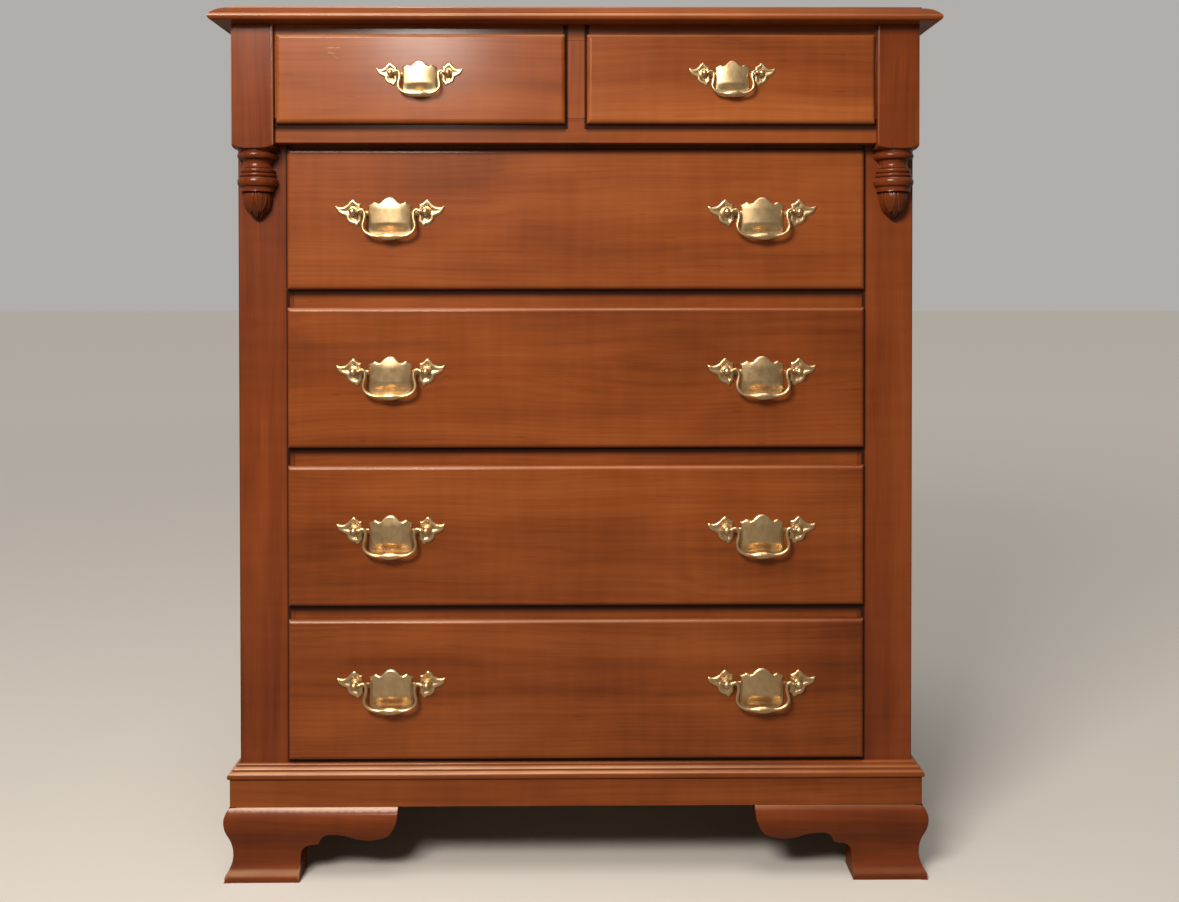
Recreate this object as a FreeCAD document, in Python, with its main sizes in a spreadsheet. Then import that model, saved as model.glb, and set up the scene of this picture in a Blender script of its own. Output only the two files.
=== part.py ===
import FreeCAD, Part
import math
import os
import Sketcher
from FreeCAD import Placement, Rotation, Vector

# A tall chest of drawers: two small drawers in a projecting frieze over four
# full-width drawers, on a plinth and ogee bracket feet.
# Millimetres. +Z up, front towards -Y, origin on the floor under the middle.

os.makedirs("parts", exist_ok=True)
doc = FreeCAD.newDocument("ChestOfDrawers")

# ---------------------------------------------------------------- dimensions
DIMENSIONS = [
    # overall
    ("total_height", 1226.0, "floor to top"),
    ("top_width", 1005.0, "over the moulded ends"),
    ("top_depth", 513.0, "nose to back edge"),
    ("top_thick", 23.0, "top board"),
    ("nose_radius", 5.0, "half-round on the top's edge"),
    ("ovolo_start", 2.0, "nose to the start of the ovolo"),
    ("ovolo_set", 23.0, "nose to the top of the ovolo"),
    ("ovolo_swell", 2.1, "middle of the ovolo above its chord"),
    ("ovolo_lip", 2.0, "square edge left above the ovolo"),
    # case
    ("case_width", 955.0, "outside of the side panels"),
    ("face_reach", 58.0, "nose of the top to the face of the stiles"),
    ("board_thick", 20.0, "stiles and face rails"),
    ("stile_width", 78.0, "front stile"),
    ("side_thick", 19.0, "side panel"),
    ("back_thick", 6.0, "back panel"),
    ("back_rebate", 8.0, "depth of the rebate for the back"),
    ("back_bite", 9.0, "width of the rebate for the back"),
    ("tenon_length", 10.0, "face rail tenon"),
    ("tenon_thick", 8.0, "face rail tenon"),
    ("tenon_shoulder", 5.0, "above and below a tenon"),
    # base
    ("foot_height", 104.0, "floor to the underside of the plinth"),
    ("plinth_height", 38.5, "plinth board"),
    ("plinth_reach", 12.0, "plinth in front of the stiles"),
    ("mould_height", 20.8, "base moulding"),
    ("mould_reach", 15.0, "base moulding in front of the stiles"),
    ("foot_thick", 42.0, "foot stock, behind the plinth's face"),
    ("foot_length", 237.0, "front bracket from the plinth's corner"),
    ("foot_side_length", 190.0, "side bracket from the plinth's corner"),
    ("foot_toe_width", 98.8, "toe from the plinth's corner"),
    ("foot_bulge", 19.6, "widest part of the ogee in front of the stiles"),
    ("foot_bulge_z", 86.0, "height of the widest part"),
    ("foot_turn", 14.8, "where the ogee changes from convex to concave"),
    ("foot_turn_z", 63.5, "height of the change"),
    ("foot_waist", 8.7, "narrowest part of the ogee"),
    ("foot_waist_z", 35.0, "height of the narrowest part"),
    ("foot_toe", 18.5, "toe in front of the stiles"),
    ("foot_toe_z", 8.0, "height of the toe's edge"),
    ("block_size", 38.0, "glue block"),
    # openings, lowest edge of each
    ("opening_height", 182.5, "long drawer opening"),
    ("opening_one_z", 842.75, "upper long drawer"),
    ("opening_two_z", 618.75, "second long drawer"),
    ("opening_three_z", 395.0, "third long drawer"),
    ("opening_four_z", 177.0, "lowest long drawer"),
    ("small_opening_z", 1073.0, "small drawers"),
    ("small_opening_height", 108.0, "small drawers"),
    # frieze
    ("frieze_reach", 25.0, "frieze rails in front of the stiles"),
    ("frieze_low", 1039.0, "underside of the lower frieze rail"),
    ("divider_width", 46.0, "between the small drawers"),
    ("corner_width", 58.0, "corner block and turned drop"),
    ("corner_reach", 33.0, "corner block in front of the stiles"),
    ("corner_low", 1031.0, "underside of the corner block"),
    ("pommel_rise", 11.0, "rounded shoulder under the corner block"),
    ("drop_axis", 4.0, "turning axis in front of the stiles"),
    ("drop_tip_z", 932.0, "point of the carved bud"),
    # inside the case
    ("runner_width", 83.5, "drawer runner"),
    ("runner_thick", 16.0, "drawer runner"),
    ("frame_rail", 40.0, "rear rail of a dust frame"),
    ("dust_thick", 5.0, "dust panel"),
    ("dust_bite", 6.0, "dust panel in its groove"),
    ("guide_width", 20.0, "drawer guide"),
    ("guide_height", 20.0, "drawer guide"),
    ("guide_gap", 1.0, "drawer side to guide"),
    ("cleat_size", 20.0, "cleat under the top"),
    ("screw_radius", 2.25, "wood screw shank"),
    ("screw_head", 4.5, "wood screw head radius"),
    # drawers
    ("lip", 8.0, "front over the opening, all round a long drawer"),
    ("lip_thick", 8.7, "lip of a drawer front"),
    ("lip_gap", 0.3, "lip to the face behind it"),
    ("front_inner", 13.3, "part of the front inside the opening"),
    ("front_round", 6.0, "rounded edge of a drawer front"),
    ("drawer_play", 3.5, "drawer side to the opening"),
    ("drawer_lift", 0.2, "drawer side over its runner"),
    ("front_play", 2.0, "front's inner part to the opening, above and below"),
    ("side_board", 12.7, "drawer sides and back"),
    ("side_rise", 165.0, "long drawer side height"),
    ("small_side_rise", 92.0, "small drawer side height"),
    ("box_back_y", 225.0, "rear face of every drawer"),
    ("tail_length", 10.0, "dovetail in the front"),
    ("bottom_thick", 5.0, "drawer bottom"),
    ("bottom_low", 10.0, "drawer bottom above the side's lower edge"),
    ("bottom_bite", 6.0, "drawer bottom in its grooves"),
    ("small_inner_x", 15.0, "small drawer front, edge by the divider"),
    ("small_outer_x", 416.0, "small drawer front, outer edge"),
    ("small_box_inner_x", 25.5, "small drawer box, side by the divider"),
    # pulls
    ("pull_x", 262.0, "long drawer pulls from the middle"),
    ("pull_rise", 9.3, "pull posts above the middle of a long front"),
    ("small_pull_x", 216.5, "small drawer pull from the middle of the chest"),
    ("small_pull_rise", 6.5, "pull posts above the middle of a small front"),
    ("pull_large", 1.0, "size of the long drawer pulls"),
    ("pull_small", 0.78, "size of the small drawer pulls"),
    ("pull_small_tall", 0.85, "height of the small drawer pulls"),
    ("post_half", 50.8, "half of the post spacing"),
    ("plate_thick", 1.8, "pull plate"),
    ("shield_thick", 1.7, "raised centre of the plate"),
    ("post_stand", 10.0, "middle of the ball in front of the drawer"),
    ("ball_radius", 5.5, "ball head"),
    ("shank_radius", 2.0, "threaded shank"),
    ("pin_radius", 2.0, "bail pin"),
    ("pin_bore", 2.06, "hole for the bail pin"),
    ("bail_half", 36.0, "bail arm from the middle"),
    ("bail_drop", 34.5, "grip below the posts"),
    ("grip_radius", 5.0, "middle of the grip"),
]


class Size:
    """A number together with the spreadsheet formula that gives it."""

    def __init__(self, value, text=None):
        self.value = float(value)
        self.bound = text is not None
        self.text = text if self.bound else "(%s)" % repr(round(self.value, 6))

    def _join(self, other, sign, result):
        made = Size(result, "(%s %s %s)" % (self.text, sign, other.text))
        made.bound = self.bound or other.bound
        return made

    def __add__(self, other):
        other = size(other)
        return self._join(other, "+", self.value + other.value)

    def __sub__(self, other):
        other = size(other)
        return self._join(other, "-", self.value - other.value)

    def __mul__(self, other):
        other = size(other)
        return self._join(other, "*", self.value * other.value)

    def __truediv__(self, other):
        other = size(other)
        return self._join(other, "/", self.value / other.value)

    def __radd__(self, other):
        return size(other) + self

    def __rsub__(self, other):
        return size(other) - self

    def __rmul__(self, other):
        return size(other) * self

    def __neg__(self):
        return size(0) - self


def size(value):
    return value if isinstance(value, Size) else Size(value)


sheet = doc.addObject("Spreadsheet::Sheet", "Dims")


class Table:
    pass


D = Table()
for row, (alias, value, note) in enumerate(DIMENSIONS, start=1):
    sheet.set("A%d" % row, note)
    sheet.set("B%d" % row, str(value))
    sheet.setAlias("B%d" % row, alias)
    setattr(D, alias, Size(value, "Dims." + alias))
doc.recompute()

# Planes that many pieces share.
half = D.case_width / 2
face_y = D.face_reach - D.top_depth / 2          # front of the stiles
back_y = D.top_depth / 2                         # back edges
top_low = D.total_height - D.top_thick           # underside of the top
rail_back = face_y + D.board_thick               # back of stiles and rails
open_half = half - D.stile_width                 # half of a long opening
case_low = D.foot_height                         # underside of the case
side_in = half - D.side_thick                    # inside of a side panel
LEVELS = [D.opening_four_z, D.opening_three_z, D.opening_two_z, D.opening_one_z]


# ------------------------------------------------------------------- helpers
def bind(obj, path, value):
    value = size(value)
    if value.bound:
        obj.setExpression(path, value.text)
    return value.value


def put(obj, x=0, y=0, z=0, rotation=None):
    x, y, z = size(x), size(y), size(z)
    obj.Placement = Placement(Vector(x.value, y.value, z.value), rotation or Rotation())
    for path, value in (("x", x), ("y", y), ("z", z)):
        if value.bound:
            obj.setExpression("Placement.Base." + path, value.text)


def board(name, x0, x1, y0, y1, z0, z1):
    """A plain board between two corners."""
    box = doc.addObject("Part::Box", name)
    for prop, low, high in (("Length", x0, x1), ("Width", y0, y1), ("Height", z0, z1)):
        span = size(high) - size(low)
        setattr(box, prop, span.value)
        if span.bound:
            box.setExpression(prop, span.text)
    put(box, x0, y0, z0)
    return box


def cut(name, base, tool):
    made = doc.addObject("Part::Cut", name)
    made.Base = base
    made.Tool = tool
    return made


def fuse(name, shapes):
    made = doc.addObject("Part::MultiFuse", name)
    made.Shapes = shapes
    made.Refine = True
    return made


def group(name, links, x=0, y=0, z=0, rotation=None):
    """Separate solids kept side by side, placed together."""
    made = doc.addObject("Part::Compound", name)
    made.Links = links
    put(made, x, y, z, rotation)
    return made


def mirror(name, source, x=0):
    made = doc.addObject("Part::Mirroring", name)
    made.Source = source
    made.Normal = Vector(1, 0, 0)
    x = size(x)
    made.Base = Vector(x.value, 0, 0)
    if x.bound:
        made.setExpression("Base.x", x.text)
    return made


def body(name):
    return doc.addObject("PartDesign::Body", name)


def sketch(owner, role, name, lift=0, right=0, up=0):
    """A sketch on one of the body's own origin planes, moved along the plane's
    normal by lift and within the plane by right and up."""
    made = owner.newObject("Sketcher::SketchObject", name)
    plane = [f for f in owner.Origin.OriginFeatures if f.Role == role][0]
    made.AttachmentSupport = [(plane, "")]
    made.MapMode = "FlatFace"
    lift, right, up = size(lift), size(right), size(up)
    made.AttachmentOffset = Placement(Vector(right.value, up.value, lift.value), Rotation())
    for path, value in (("x", right), ("y", up), ("z", lift)):
        if value.bound:
            made.setExpression("AttachmentOffset.Base." + path, value.text)
    return made


def fix(sk, geo, end, x, y):
    """Holds one end of an edge at x, y from the sketch's origin."""
    for kind, value in (("DistanceX", size(x)), ("DistanceY", size(y))):
        index = sk.addConstraint(Sketcher.Constraint(kind, -1, 1, geo, end, value.value))
        if value.bound:
            name = "%s%d_%d" % (kind[-1].lower(), geo, end)
            sk.renameConstraint(index, name)
            sk.setExpression("Constraints." + name, value.text)


def arc_through(a, b, c):
    """Counter-clockwise arc through three points, and which of its ends is a."""
    (ax, ay), (bx, by), (cx, cy) = a, b, c
    d = 2 * (ax * (by - cy) + bx * (cy - ay) + cx * (ay - by))
    ux = ((ax * ax + ay * ay) * (by - cy) + (bx * bx + by * by) * (cy - ay) + (cx * cx + cy * cy) * (ay - by)) / d
    uy = ((ax * ax + ay * ay) * (cx - bx) + (bx * bx + by * by) * (ax - cx) + (cx * cx + cy * cy) * (bx - ax)) / d
    radius = math.hypot(ax - ux, ay - uy)
    start = math.atan2(ay - uy, ax - ux)
    end = math.atan2(cy - uy, cx - ux)
    first = 1
    if d < 0:
        start, end, first = end, start, 2
    if end <= start:
        end += 2 * math.pi
    circle = Part.Circle(Vector(ux, uy, 0), Vector(0, 0, 1), radius)
    return Part.ArcOfCircle(circle, start, end), first, radius


def outline(sk, corners):
    """A closed outline. A corner is (x, y), and the edge that leaves it is
    straight, or (x, y, through_x, through_y), and that edge is an arc."""
    count = len(corners)
    ends = []
    for i, corner in enumerate(corners):
        after = corners[(i + 1) % count]
        a = (size(corner[0]).value, size(corner[1]).value)
        c = (size(after[0]).value, size(after[1]).value)
        if len(corner) == 2:
            geo = sk.addGeometry(Part.LineSegment(Vector(a[0], a[1], 0), Vector(c[0], c[1], 0)))
            ends.append((geo, 1, 2))
        else:
            b = (size(corner[2]).value, size(corner[3]).value)
            arc, first, radius = arc_through(a, b, c)
            geo = sk.addGeometry(arc)
            ends.append((geo, first, 3 - first))
            sk.addConstraint(Sketcher.Constraint("Radius", geo, radius))
    for i in range(count):
        geo, _, last = ends[i]
        nxt, first, _ = ends[(i + 1) % count]
        sk.addConstraint(Sketcher.Constraint("Coincident", geo, last, nxt, first))
    for i, corner in enumerate(corners):
        fix(sk, ends[i][0], ends[i][1], corner[0], corner[1])


def rectangle(sk, x0, x1, y0, y1):
    outline(sk, [(x0, y0), (x1, y0), (x1, y1), (x0, y1)])


def circle(sk, x, y, radius):
    radius = size(radius)
    geo = sk.addGeometry(Part.Circle(Vector(size(x).value, size(y).value, 0), Vector(0, 0, 1), radius.value))
    fix(sk, geo, 3, x, y)
    index = sk.addConstraint(Sketcher.Constraint("Radius", geo, radius.value))
    if radius.bound:
        name = "r%d" % geo
        sk.renameConstraint(index, name)
        sk.setExpression("Constraints." + name, radius.text)


def pad(owner, sk, name, length, reverse=False, both=False):
    made = owner.newObject("PartDesign::Pad", name)
    made.Profile = sk
    made.Length = bind(made, "Length", length)
    made.Reversed = reverse
    if both:
        made.SideType = "Symmetric"
    return made


def pocket_through(owner, sk, name):
    """Cuts both ways from the sketch through everything."""
    made = owner.newObject("PartDesign::Pocket", name)
    made.Profile = sk
    made.SideType = "Symmetric"
    made.Type = "ThroughAll"
    return made


def check_cut(owner, before, what):
    doc.recompute()
    if not owner.Shape.Volume < before - 0.5:
        raise RuntimeError(what + " cut nothing")
    return owner.Shape.Volume


def volume(owner):
    doc.recompute()
    return owner.Shape.Volume


NODES = []


def node(obj, label):
    obj.Label = label
    NODES.append(obj)
    return obj


# ---------------------------------------------------------------- face frame
def rail(name, z0, z1):
    """A face rail with a stub tenon on each end."""
    plain = board(name + "_board", -open_half, open_half, face_y, rail_back, z0, z1)
    mid = face_y + D.board_thick / 2
    tongue = board(name + "_tenon", -open_half - D.tenon_length, open_half + D.tenon_length,
                   mid - D.tenon_thick / 2, mid + D.tenon_thick / 2,
                   size(z0) + D.tenon_shoulder, size(z1) - D.tenon_shoulder)
    return fuse(name, [plain, tongue])


# Dust panels come first, because the rails and runners are grooved for them.
panel_front = rail_back - D.dust_bite
frame_back = back_y - D.back_rebate
panel_back = frame_back - D.frame_rail + D.dust_bite
runner_in = side_in - D.runner_width
panel_half = runner_in + D.dust_bite
centre_half = size(42.0)
dust = []
for i, level in enumerate(LEVELS):
    low = level - D.runner_thick / 2 - D.dust_thick / 2
    dust.append(board("DustPanel%d" % (i + 1), -panel_half, panel_half, panel_front, panel_back,
                      low, low + D.dust_thick))
low = D.small_opening_z - D.runner_thick / 2 - D.dust_thick / 2
dust.append(board("DustPanelLeft", -panel_half, D.dust_bite - centre_half, panel_front, panel_back,
                  low, low + D.dust_thick))
dust.append(board("DustPanelRight", centre_half - D.dust_bite, panel_half, panel_front, panel_back,
                  low, low + D.dust_thick))
dust_panels = node(group("DustPanels", dust), "dust_panels")

rails = [
    rail("BottomRail", case_low, D.opening_four_z),
    rail("ThirdRail", D.opening_four_z + D.opening_height, D.opening_three_z),
    rail("SecondRail", D.opening_three_z + D.opening_height, D.opening_two_z),
    rail("FirstRail", D.opening_two_z + D.opening_height, D.opening_one_z),
    rail("WaistRail", D.opening_one_z + D.opening_height, D.small_opening_z),
    rail("TopRail", D.small_opening_z + D.small_opening_height, top_low),
]
rails_plain = group("RailsPlain", rails)
rails_cut = cut("RailsGrooved", rails_plain, dust_panels)
node(group("FaceRails", [rails_cut]), "face_rails")

stile_blank = board("StileBlank", -half, -open_half, face_y, rail_back, case_low, top_low)
stile_left = cut("StileLeft", stile_blank, rails_plain)
stile_right = mirror("StileRight", stile_left)
node(group("Stiles", [stile_left, stile_right]), "stiles")

# --------------------------------------------------------------- dust frames
members = []
for i, level in enumerate(LEVELS + [D.small_opening_z]):
    low = level - D.runner_thick
    left = board("RunnerLeft%d" % (i + 1), -side_in, -runner_in, rail_back, frame_back, low, level)
    right = board("RunnerRight%d" % (i + 1), runner_in, side_in, rail_back, frame_back, low, level)
    rear = board("FrameRear%d" % (i + 1), -runner_in, runner_in, frame_back - D.frame_rail, frame_back, low, level)
    members += [left, right, rear]
members.append(board("RunnerCentre", -centre_half, centre_half, rail_back, frame_back - D.frame_rail,
                     D.small_opening_z - D.runner_thick, D.small_opening_z))
frames_plain = group("FramesPlain", members)
node(group("DustFrames", [cut("FramesGrooved", frames_plain, dust_panels)]), "dust_frames")

# Guides keep the drawers square to the front.
guide_in = open_half - D.drawer_play + D.guide_gap
guides = []
for i, level in enumerate(LEVELS + [D.small_opening_z]):
    left = board("GuideLeft%d" % (i + 1), -guide_in - D.guide_width, -guide_in, rail_back, frame_back - 8,
                 level, level + D.guide_height)
    guides += [left, mirror("GuideRight%d" % (i + 1), left)]
centre = D.small_box_inner_x - D.guide_gap - 0.5
guides.append(board("GuideCentre", -centre, centre, rail_back, frame_back - 8,
                    D.small_opening_z, D.small_opening_z + D.guide_height))
node(group("DrawerGuides", guides), "drawer_guides")

# --------------------------------------------------------- sides, back, top
side_blank = board("SideBlank", -half, -side_in, rail_back, back_y, case_low, top_low)
rebate = board("SideRebate", -side_in - D.back_bite, -side_in, frame_back, back_y, case_low, top_low)
side_left = cut("SideLeft", side_blank, rebate)
node(group("SidePanels", [side_left, mirror("SideRight", side_left)]), "side_panels")
back = board("BackBoard", -side_in - D.back_bite, side_in + D.back_bite, frame_back, frame_back + D.back_thick,
             case_low, top_low)
node(group("BackPanel", [back]), "back_panel")

# Cleats under the top, and a kicker that keeps the small drawers level.
cleat_low = top_low - D.cleat_size
cleat_front = board("CleatFront", -side_in, side_in, rail_back, rail_back + 40, cleat_low, top_low)
cleat_rear = board("CleatRear", -side_in, side_in, frame_back - 40, frame_back, cleat_low, top_low)
cleat_left = board("CleatLeft", -side_in, D.cleat_size - side_in, rail_back + 40, frame_back - 40, cleat_low, top_low)
kicker = board("Kicker", -30, 30, rail_back + 40, frame_back - 40, cleat_low, top_low)
cleats = group("CleatsPlain", [cleat_front, cleat_rear, cleat_left, mirror("CleatRight", cleat_left), kicker])
screws = []
for i, x in enumerate((-380, -150, 150, 380)):
    for j, y in enumerate((rail_back + 20, frame_back - 20)):
        shank = doc.addObject("Part::Cylinder", "ScrewShank%d%d" % (i, j))
        shank.Radius = bind(shank, "Radius", D.screw_radius)
        shank.Height = bind(shank, "Height", D.cleat_size + 12)
        put(shank, x, y, cleat_low)
        head = doc.addObject("Part::Cone", "ScrewHead%d%d" % (i, j))
        head.Radius1 = bind(head, "Radius1", D.screw_head * 0.6)
        head.Radius2 = bind(head, "Radius2", D.screw_head)
        head.Height = 2.4
        put(head, x, y, cleat_low - 2.4)
        screws.append(fuse("Screw%d%d" % (i, j), [shank, head]))
top_screws = node(group("TopScrews", screws), "top_screws")
node(group("TopCleats", [cut("CleatsBored", cleats, top_screws)]), "top_cleats")

# The top's edge on the front and both ends: a round nose, then a shallow
# ovolo up to a small square lip. The back edge stays square.
top = body("TopBody")
sk = sketch(top, "XY_Plane", "TopPlan", lift=top_low)
rectangle(sk, D.top_width / -2, D.top_width / 2, D.top_depth / -2, D.top_depth / 2)
pad(top, sk, "TopPad", D.top_thick)


def top_edge(edge, way):
    """Waste outside the moulded edge. way is +1 when the board lies towards
    larger coordinates, -1 when it lies towards smaller ones."""
    r = D.nose_radius
    mid = top_low + r
    over = math.sqrt(r.value ** 2 - (r.value - D.ovolo_start.value) ** 2)
    turn = (math.pi + math.atan2(over, D.ovolo_start.value - r.value)) / 2
    low, high = mid + over, D.total_height - D.ovolo_lip
    run, rise = (D.ovolo_set - D.ovolo_start).value, (high - low).value
    swell = D.ovolo_swell.value / math.hypot(run, rise)
    k = math.sqrt(0.5)
    pts = [
        (D.ovolo_set, D.total_height + 2), (-2, D.total_height + 2), (-2, top_low - 2), (r, top_low - 2),
        (r, top_low, r * (1 - k), mid - r * k),
        (0, mid, r * (1 + math.cos(turn)), mid + r * math.sin(turn)),
        (D.ovolo_start, low, D.ovolo_start + run / 2 - swell * rise, low + rise / 2 + swell * run),
        (D.ovolo_set, high),
    ]
    return [tuple((edge + way * size(v)) if i % 2 == 0 else v for i, v in enumerate(p)) for p in pts]


before = volume(top)
sk = sketch(top, "YZ_Plane", "FrontEdge")
outline(sk, top_edge(D.top_depth / -2, 1))
pocket_through(top, sk, "FrontEdgeCut")
before = check_cut(top, before, "top front edge")
for name, edge, way in (("Left", D.top_width / -2, 1), ("Right", D.top_width / 2, -1)):
    sk = sketch(top, "XZ_Plane", name + "Edge")
    outline(sk, top_edge(edge, way))
    pocket_through(top, sk, name + "EdgeCut")
    before = check_cut(top, before, "top end edge")
node(cut("TopBoard", top, top_screws), "top_board")

# -------------------------------------------------------------------- frieze
frieze_front = face_y - D.frieze_reach
corner_in = half - D.corner_width
small_top = D.small_opening_z + D.small_opening_height
node(group("FriezeRails", [
    board("FriezeUpper", -corner_in, corner_in, frieze_front, face_y, small_top, top_low),
    board("FriezeLower", -corner_in, corner_in, frieze_front, face_y, D.frieze_low, D.small_opening_z),
]), "frieze_rails")
frieze_end = board("FriezeEndLeft", -corner_in, -open_half, frieze_front, face_y, D.small_opening_z, small_top)
node(group("FriezeUprights", [
    frieze_end, mirror("FriezeEndRight", frieze_end),
    board("FriezeDivider", D.divider_width / -2, D.divider_width / 2, frieze_front, rail_back,
          D.small_opening_z, small_top),
]), "frieze_uprights")

# ------------------------------------------------------------ split turnings
# One turning, split down its length: a square block with a rounded shoulder,
# two rings with a cove and beads between them, a collar and a pointed bud.
turning = body("TurningBody")
axis_x = D.corner_width / 2 - half
axis_y = face_y - D.drop_axis
sk = sketch(turning, "XY_Plane", "BlockPlan", lift=D.corner_low)
rectangle(sk, -half, D.corner_width - half, face_y - D.corner_reach, face_y)
pad(turning, sk, "Block", top_low - D.corner_low)
before = volume(turning)
low = D.corner_low
sk = sketch(turning, "XZ_Plane", "Shoulder", lift=-axis_y, right=axis_x)
outline(sk, [(29.5, low - 1), (60, low - 1), (60, low + D.pommel_rise),
             (44, low + D.pommel_rise, 39.3, low + 3.7), (29.5, low)])
groove = turning.newObject("PartDesign::Groove", "ShoulderCut")
groove.Profile = sk
groove.ReferenceAxis = (sk, ["V_Axis"])
groove.Angle = 360
before = check_cut(turning, before, "block shoulder")
sk = sketch(turning, "XZ_Plane", "Drop", lift=-axis_y, right=axis_x)
outline(sk, [
    (0, low + 2), (26, low + 2), (26, low - 4, 29, low - 8.7),
    (26, low - 13.4), (22.5, low - 14.2, 20.5, low - 20),
    (22.5, low - 26), (23.5, low - 26.6, 25.2, low - 29.8),
    (23.5, low - 33), (24.6, low - 33, 26.3, low - 35.8),
    (24.6, low - 38.6), (26.4, low - 39.2, 29, low - 45),
    (26.8, low - 51.4), (25.2, low - 52, 24.4, low - 55.5),
    (25, low - 59), (21, low - 59.6, 18.2, low - 80), (0.8, D.drop_tip_z), (0, D.drop_tip_z),
])
turned = turning.newObject("PartDesign::Revolution", "TurnedDrop")
turned.Profile = sk
turned.ReferenceAxis = (sk, ["V_Axis"])
turned.Angle = 360
before = volume(turning)
sk = sketch(turning, "XY_Plane", "SplitPlan", lift=D.corner_low - 60)
rectangle(sk, -half - 20, D.corner_width - half + 20, face_y, face_y + 40)
split = turning.newObject("PartDesign::Pocket", "Split")
split.Profile = sk
split.SideType = "Symmetric"
split.Type = "ThroughAll"
check_cut(turning, before, "turning split")
node(group("TurningLeft", [turning]), "split_turning_left")
node(group("TurningRight", [mirror("TurningMirror", turning)]), "split_turning_right")


# ---------------------------------------------------------------------- base
def wrap(name, profile, reach):
    """A moulding round the front and both sides, mitred at the corners.
    profile is a closed outline in (distance from the case, height)."""
    front = body(name + "Front")
    sk = sketch(front, "YZ_Plane", name + "FrontProfile")
    outline(sk, [tuple((face_y - size(v)) if i % 2 == 0 else v for i, v in enumerate(p)) for p in profile])
    pad(front, sk, name + "FrontPad", D.case_width + 2 * reach, both=True)
    before = volume(front)
    sk = sketch(front, "XY_Plane", name + "FrontMitre")
    for way in (-1, 1):
        outline(sk, [(way * half, face_y), (way * (half + reach + 4), face_y - reach - 4),
                     (way * (half + reach + 4), face_y + 4), (way * half, face_y + 4)])
    pocket_through(front, sk, name + "FrontMitreCut")
    check_cut(front, before, name + " mitre")
    end = body(name + "Side")
    sk = sketch(end, "XZ_Plane", name + "SideProfile", lift=-back_y)
    outline(sk, [tuple((-half - size(v)) if i % 2 == 0 else v for i, v in enumerate(p)) for p in profile])
    pad(end, sk, name + "SidePad", back_y - face_y + reach)
    before = volume(end)
    sk = sketch(end, "XY_Plane", name + "SideMitre")
    outline(sk, [(-half, face_y), (-half - reach - 4, face_y - reach - 4),
                 (-half + 4, face_y - reach - 4), (-half + 4, face_y)])
    pocket_through(end, sk, name + "SideMitreCut")
    check_cut(end, before, name + " mitre")
    return [front, end, mirror(name + "SideRight", end)]


low = D.foot_height + D.plinth_height
high = low + D.mould_height
reach = D.mould_reach

node(group("BaseMoulding", wrap("Mould", [
    (0, low), (12.5, low), (12.5, low + 1, 14.3, low + 1.8), (reach, low + 3.6),
    (reach, low + 5.3, 13.8, low + 8.7), (10.5, low + 10.1), (9.5, low + 10.1),
    (9.5, low + 11.7, 8.6, low + 14.3), (6, low + 15.3), (5, low + 15.3),
    (5, low + 17, 4.1, low + 19.9), (2, high), (0, high),
], reach)), "base_moulding")
node(group("Plinth", wrap("Plinth", [
    (0, D.foot_height), (D.plinth_reach, D.foot_height), (D.plinth_reach, low), (0, low),
], D.plinth_reach)), "plinth")


# ---------------------------------------------------------------------- feet
def ogee(edge, way):
    """Section of the foot stock: convex above, hollow below, a square toe."""
    pts = [
        (D.plinth_reach - D.foot_thick, 0), (D.foot_toe, 0),
        (D.foot_toe, D.foot_toe_z, 11.2, 20.7),
        (D.foot_waist, D.foot_waist_z, 10.27, 49.7),
        (D.foot_turn, D.foot_turn_z, 18.5, 75),
        (D.foot_bulge, D.foot_bulge_z, 17.6, 95.4),
        (D.plinth_reach, D.foot_height), (D.plinth_reach - D.foot_thick, D.foot_height),
    ]
    return [tuple((edge + way * size(v)) if i % 2 == 0 else v for i, v in enumerate(p)) for p in pts]


def scroll(corner, way, length, toe):
    """Waste under the bracket: the scrolled edge between the toe and the end.
    corner is the plinth's corner, way points from it along the bracket."""
    k = (length - toe) / (237.0 - 98.8)

    def at(x):
        return corner + way * (toe + k * (x - 98.8))

    return [
        (at(98.8), -2), (at(98.8), 33, at(103.2), 44.2), (at(116), 49), (at(124.6), 50.5, at(130.5), 61.5),
        (at(145), 66.2, at(159), 64.6), (at(172), 60.2, at(198), 56), (at(222), 61.8, at(233.2), 79),
        (at(236.9), D.foot_height + 1), (at(260), D.foot_height + 1), (at(260), -2),
    ]


def bracket(name, along_x, corner, way, length, toe):
    """An ogee bracket on the left of the case. along_x: it runs along the
    front; otherwise it runs along the side."""
    made = body(name)
    reach = D.foot_bulge
    if along_x:
        sk = sketch(made, "YZ_Plane", name + "Section", lift=-half - reach)
        outline(sk, ogee(face_y, -1))
        pad(made, sk, name + "Pad", length + reach - D.plinth_reach)
        cutter = sketch(made, "XZ_Plane", name + "Scroll")
    else:
        start = face_y - reach if way > 0 else back_y - length
        span = length + reach - D.plinth_reach if way > 0 else length
        sk = sketch(made, "XZ_Plane", name + "Section", lift=-(start + span))
        outline(sk, ogee(-half, -1))
        pad(made, sk, name + "Pad", span)
        cutter = sketch(made, "YZ_Plane", name + "Scroll")
    before = volume(made)
    outline(cutter, scroll(corner, way, length, toe))
    pocket_through(made, cutter, name + "ScrollCut")
    before = check_cut(made, before, name + " scroll")
    inner = D.foot_thick - D.plinth_reach
    far = reach + 6
    if way > 0:
        sk = sketch(made, "XY_Plane", name + "Mitre")
        if along_x:
            outline(sk, [(-half - far, face_y - far), (inner + 6 - half, face_y + inner + 6),
                         (-half - far, face_y + inner + 6)])
        else:
            outline(sk, [(-half - far, face_y - far), (inner + 6 - half, face_y - far),
                         (inner + 6 - half, face_y + inner + 6)])
        pocket_through(made, sk, name + "MitreCut")
        check_cut(made, before, name + " mitre")
    return made


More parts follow.
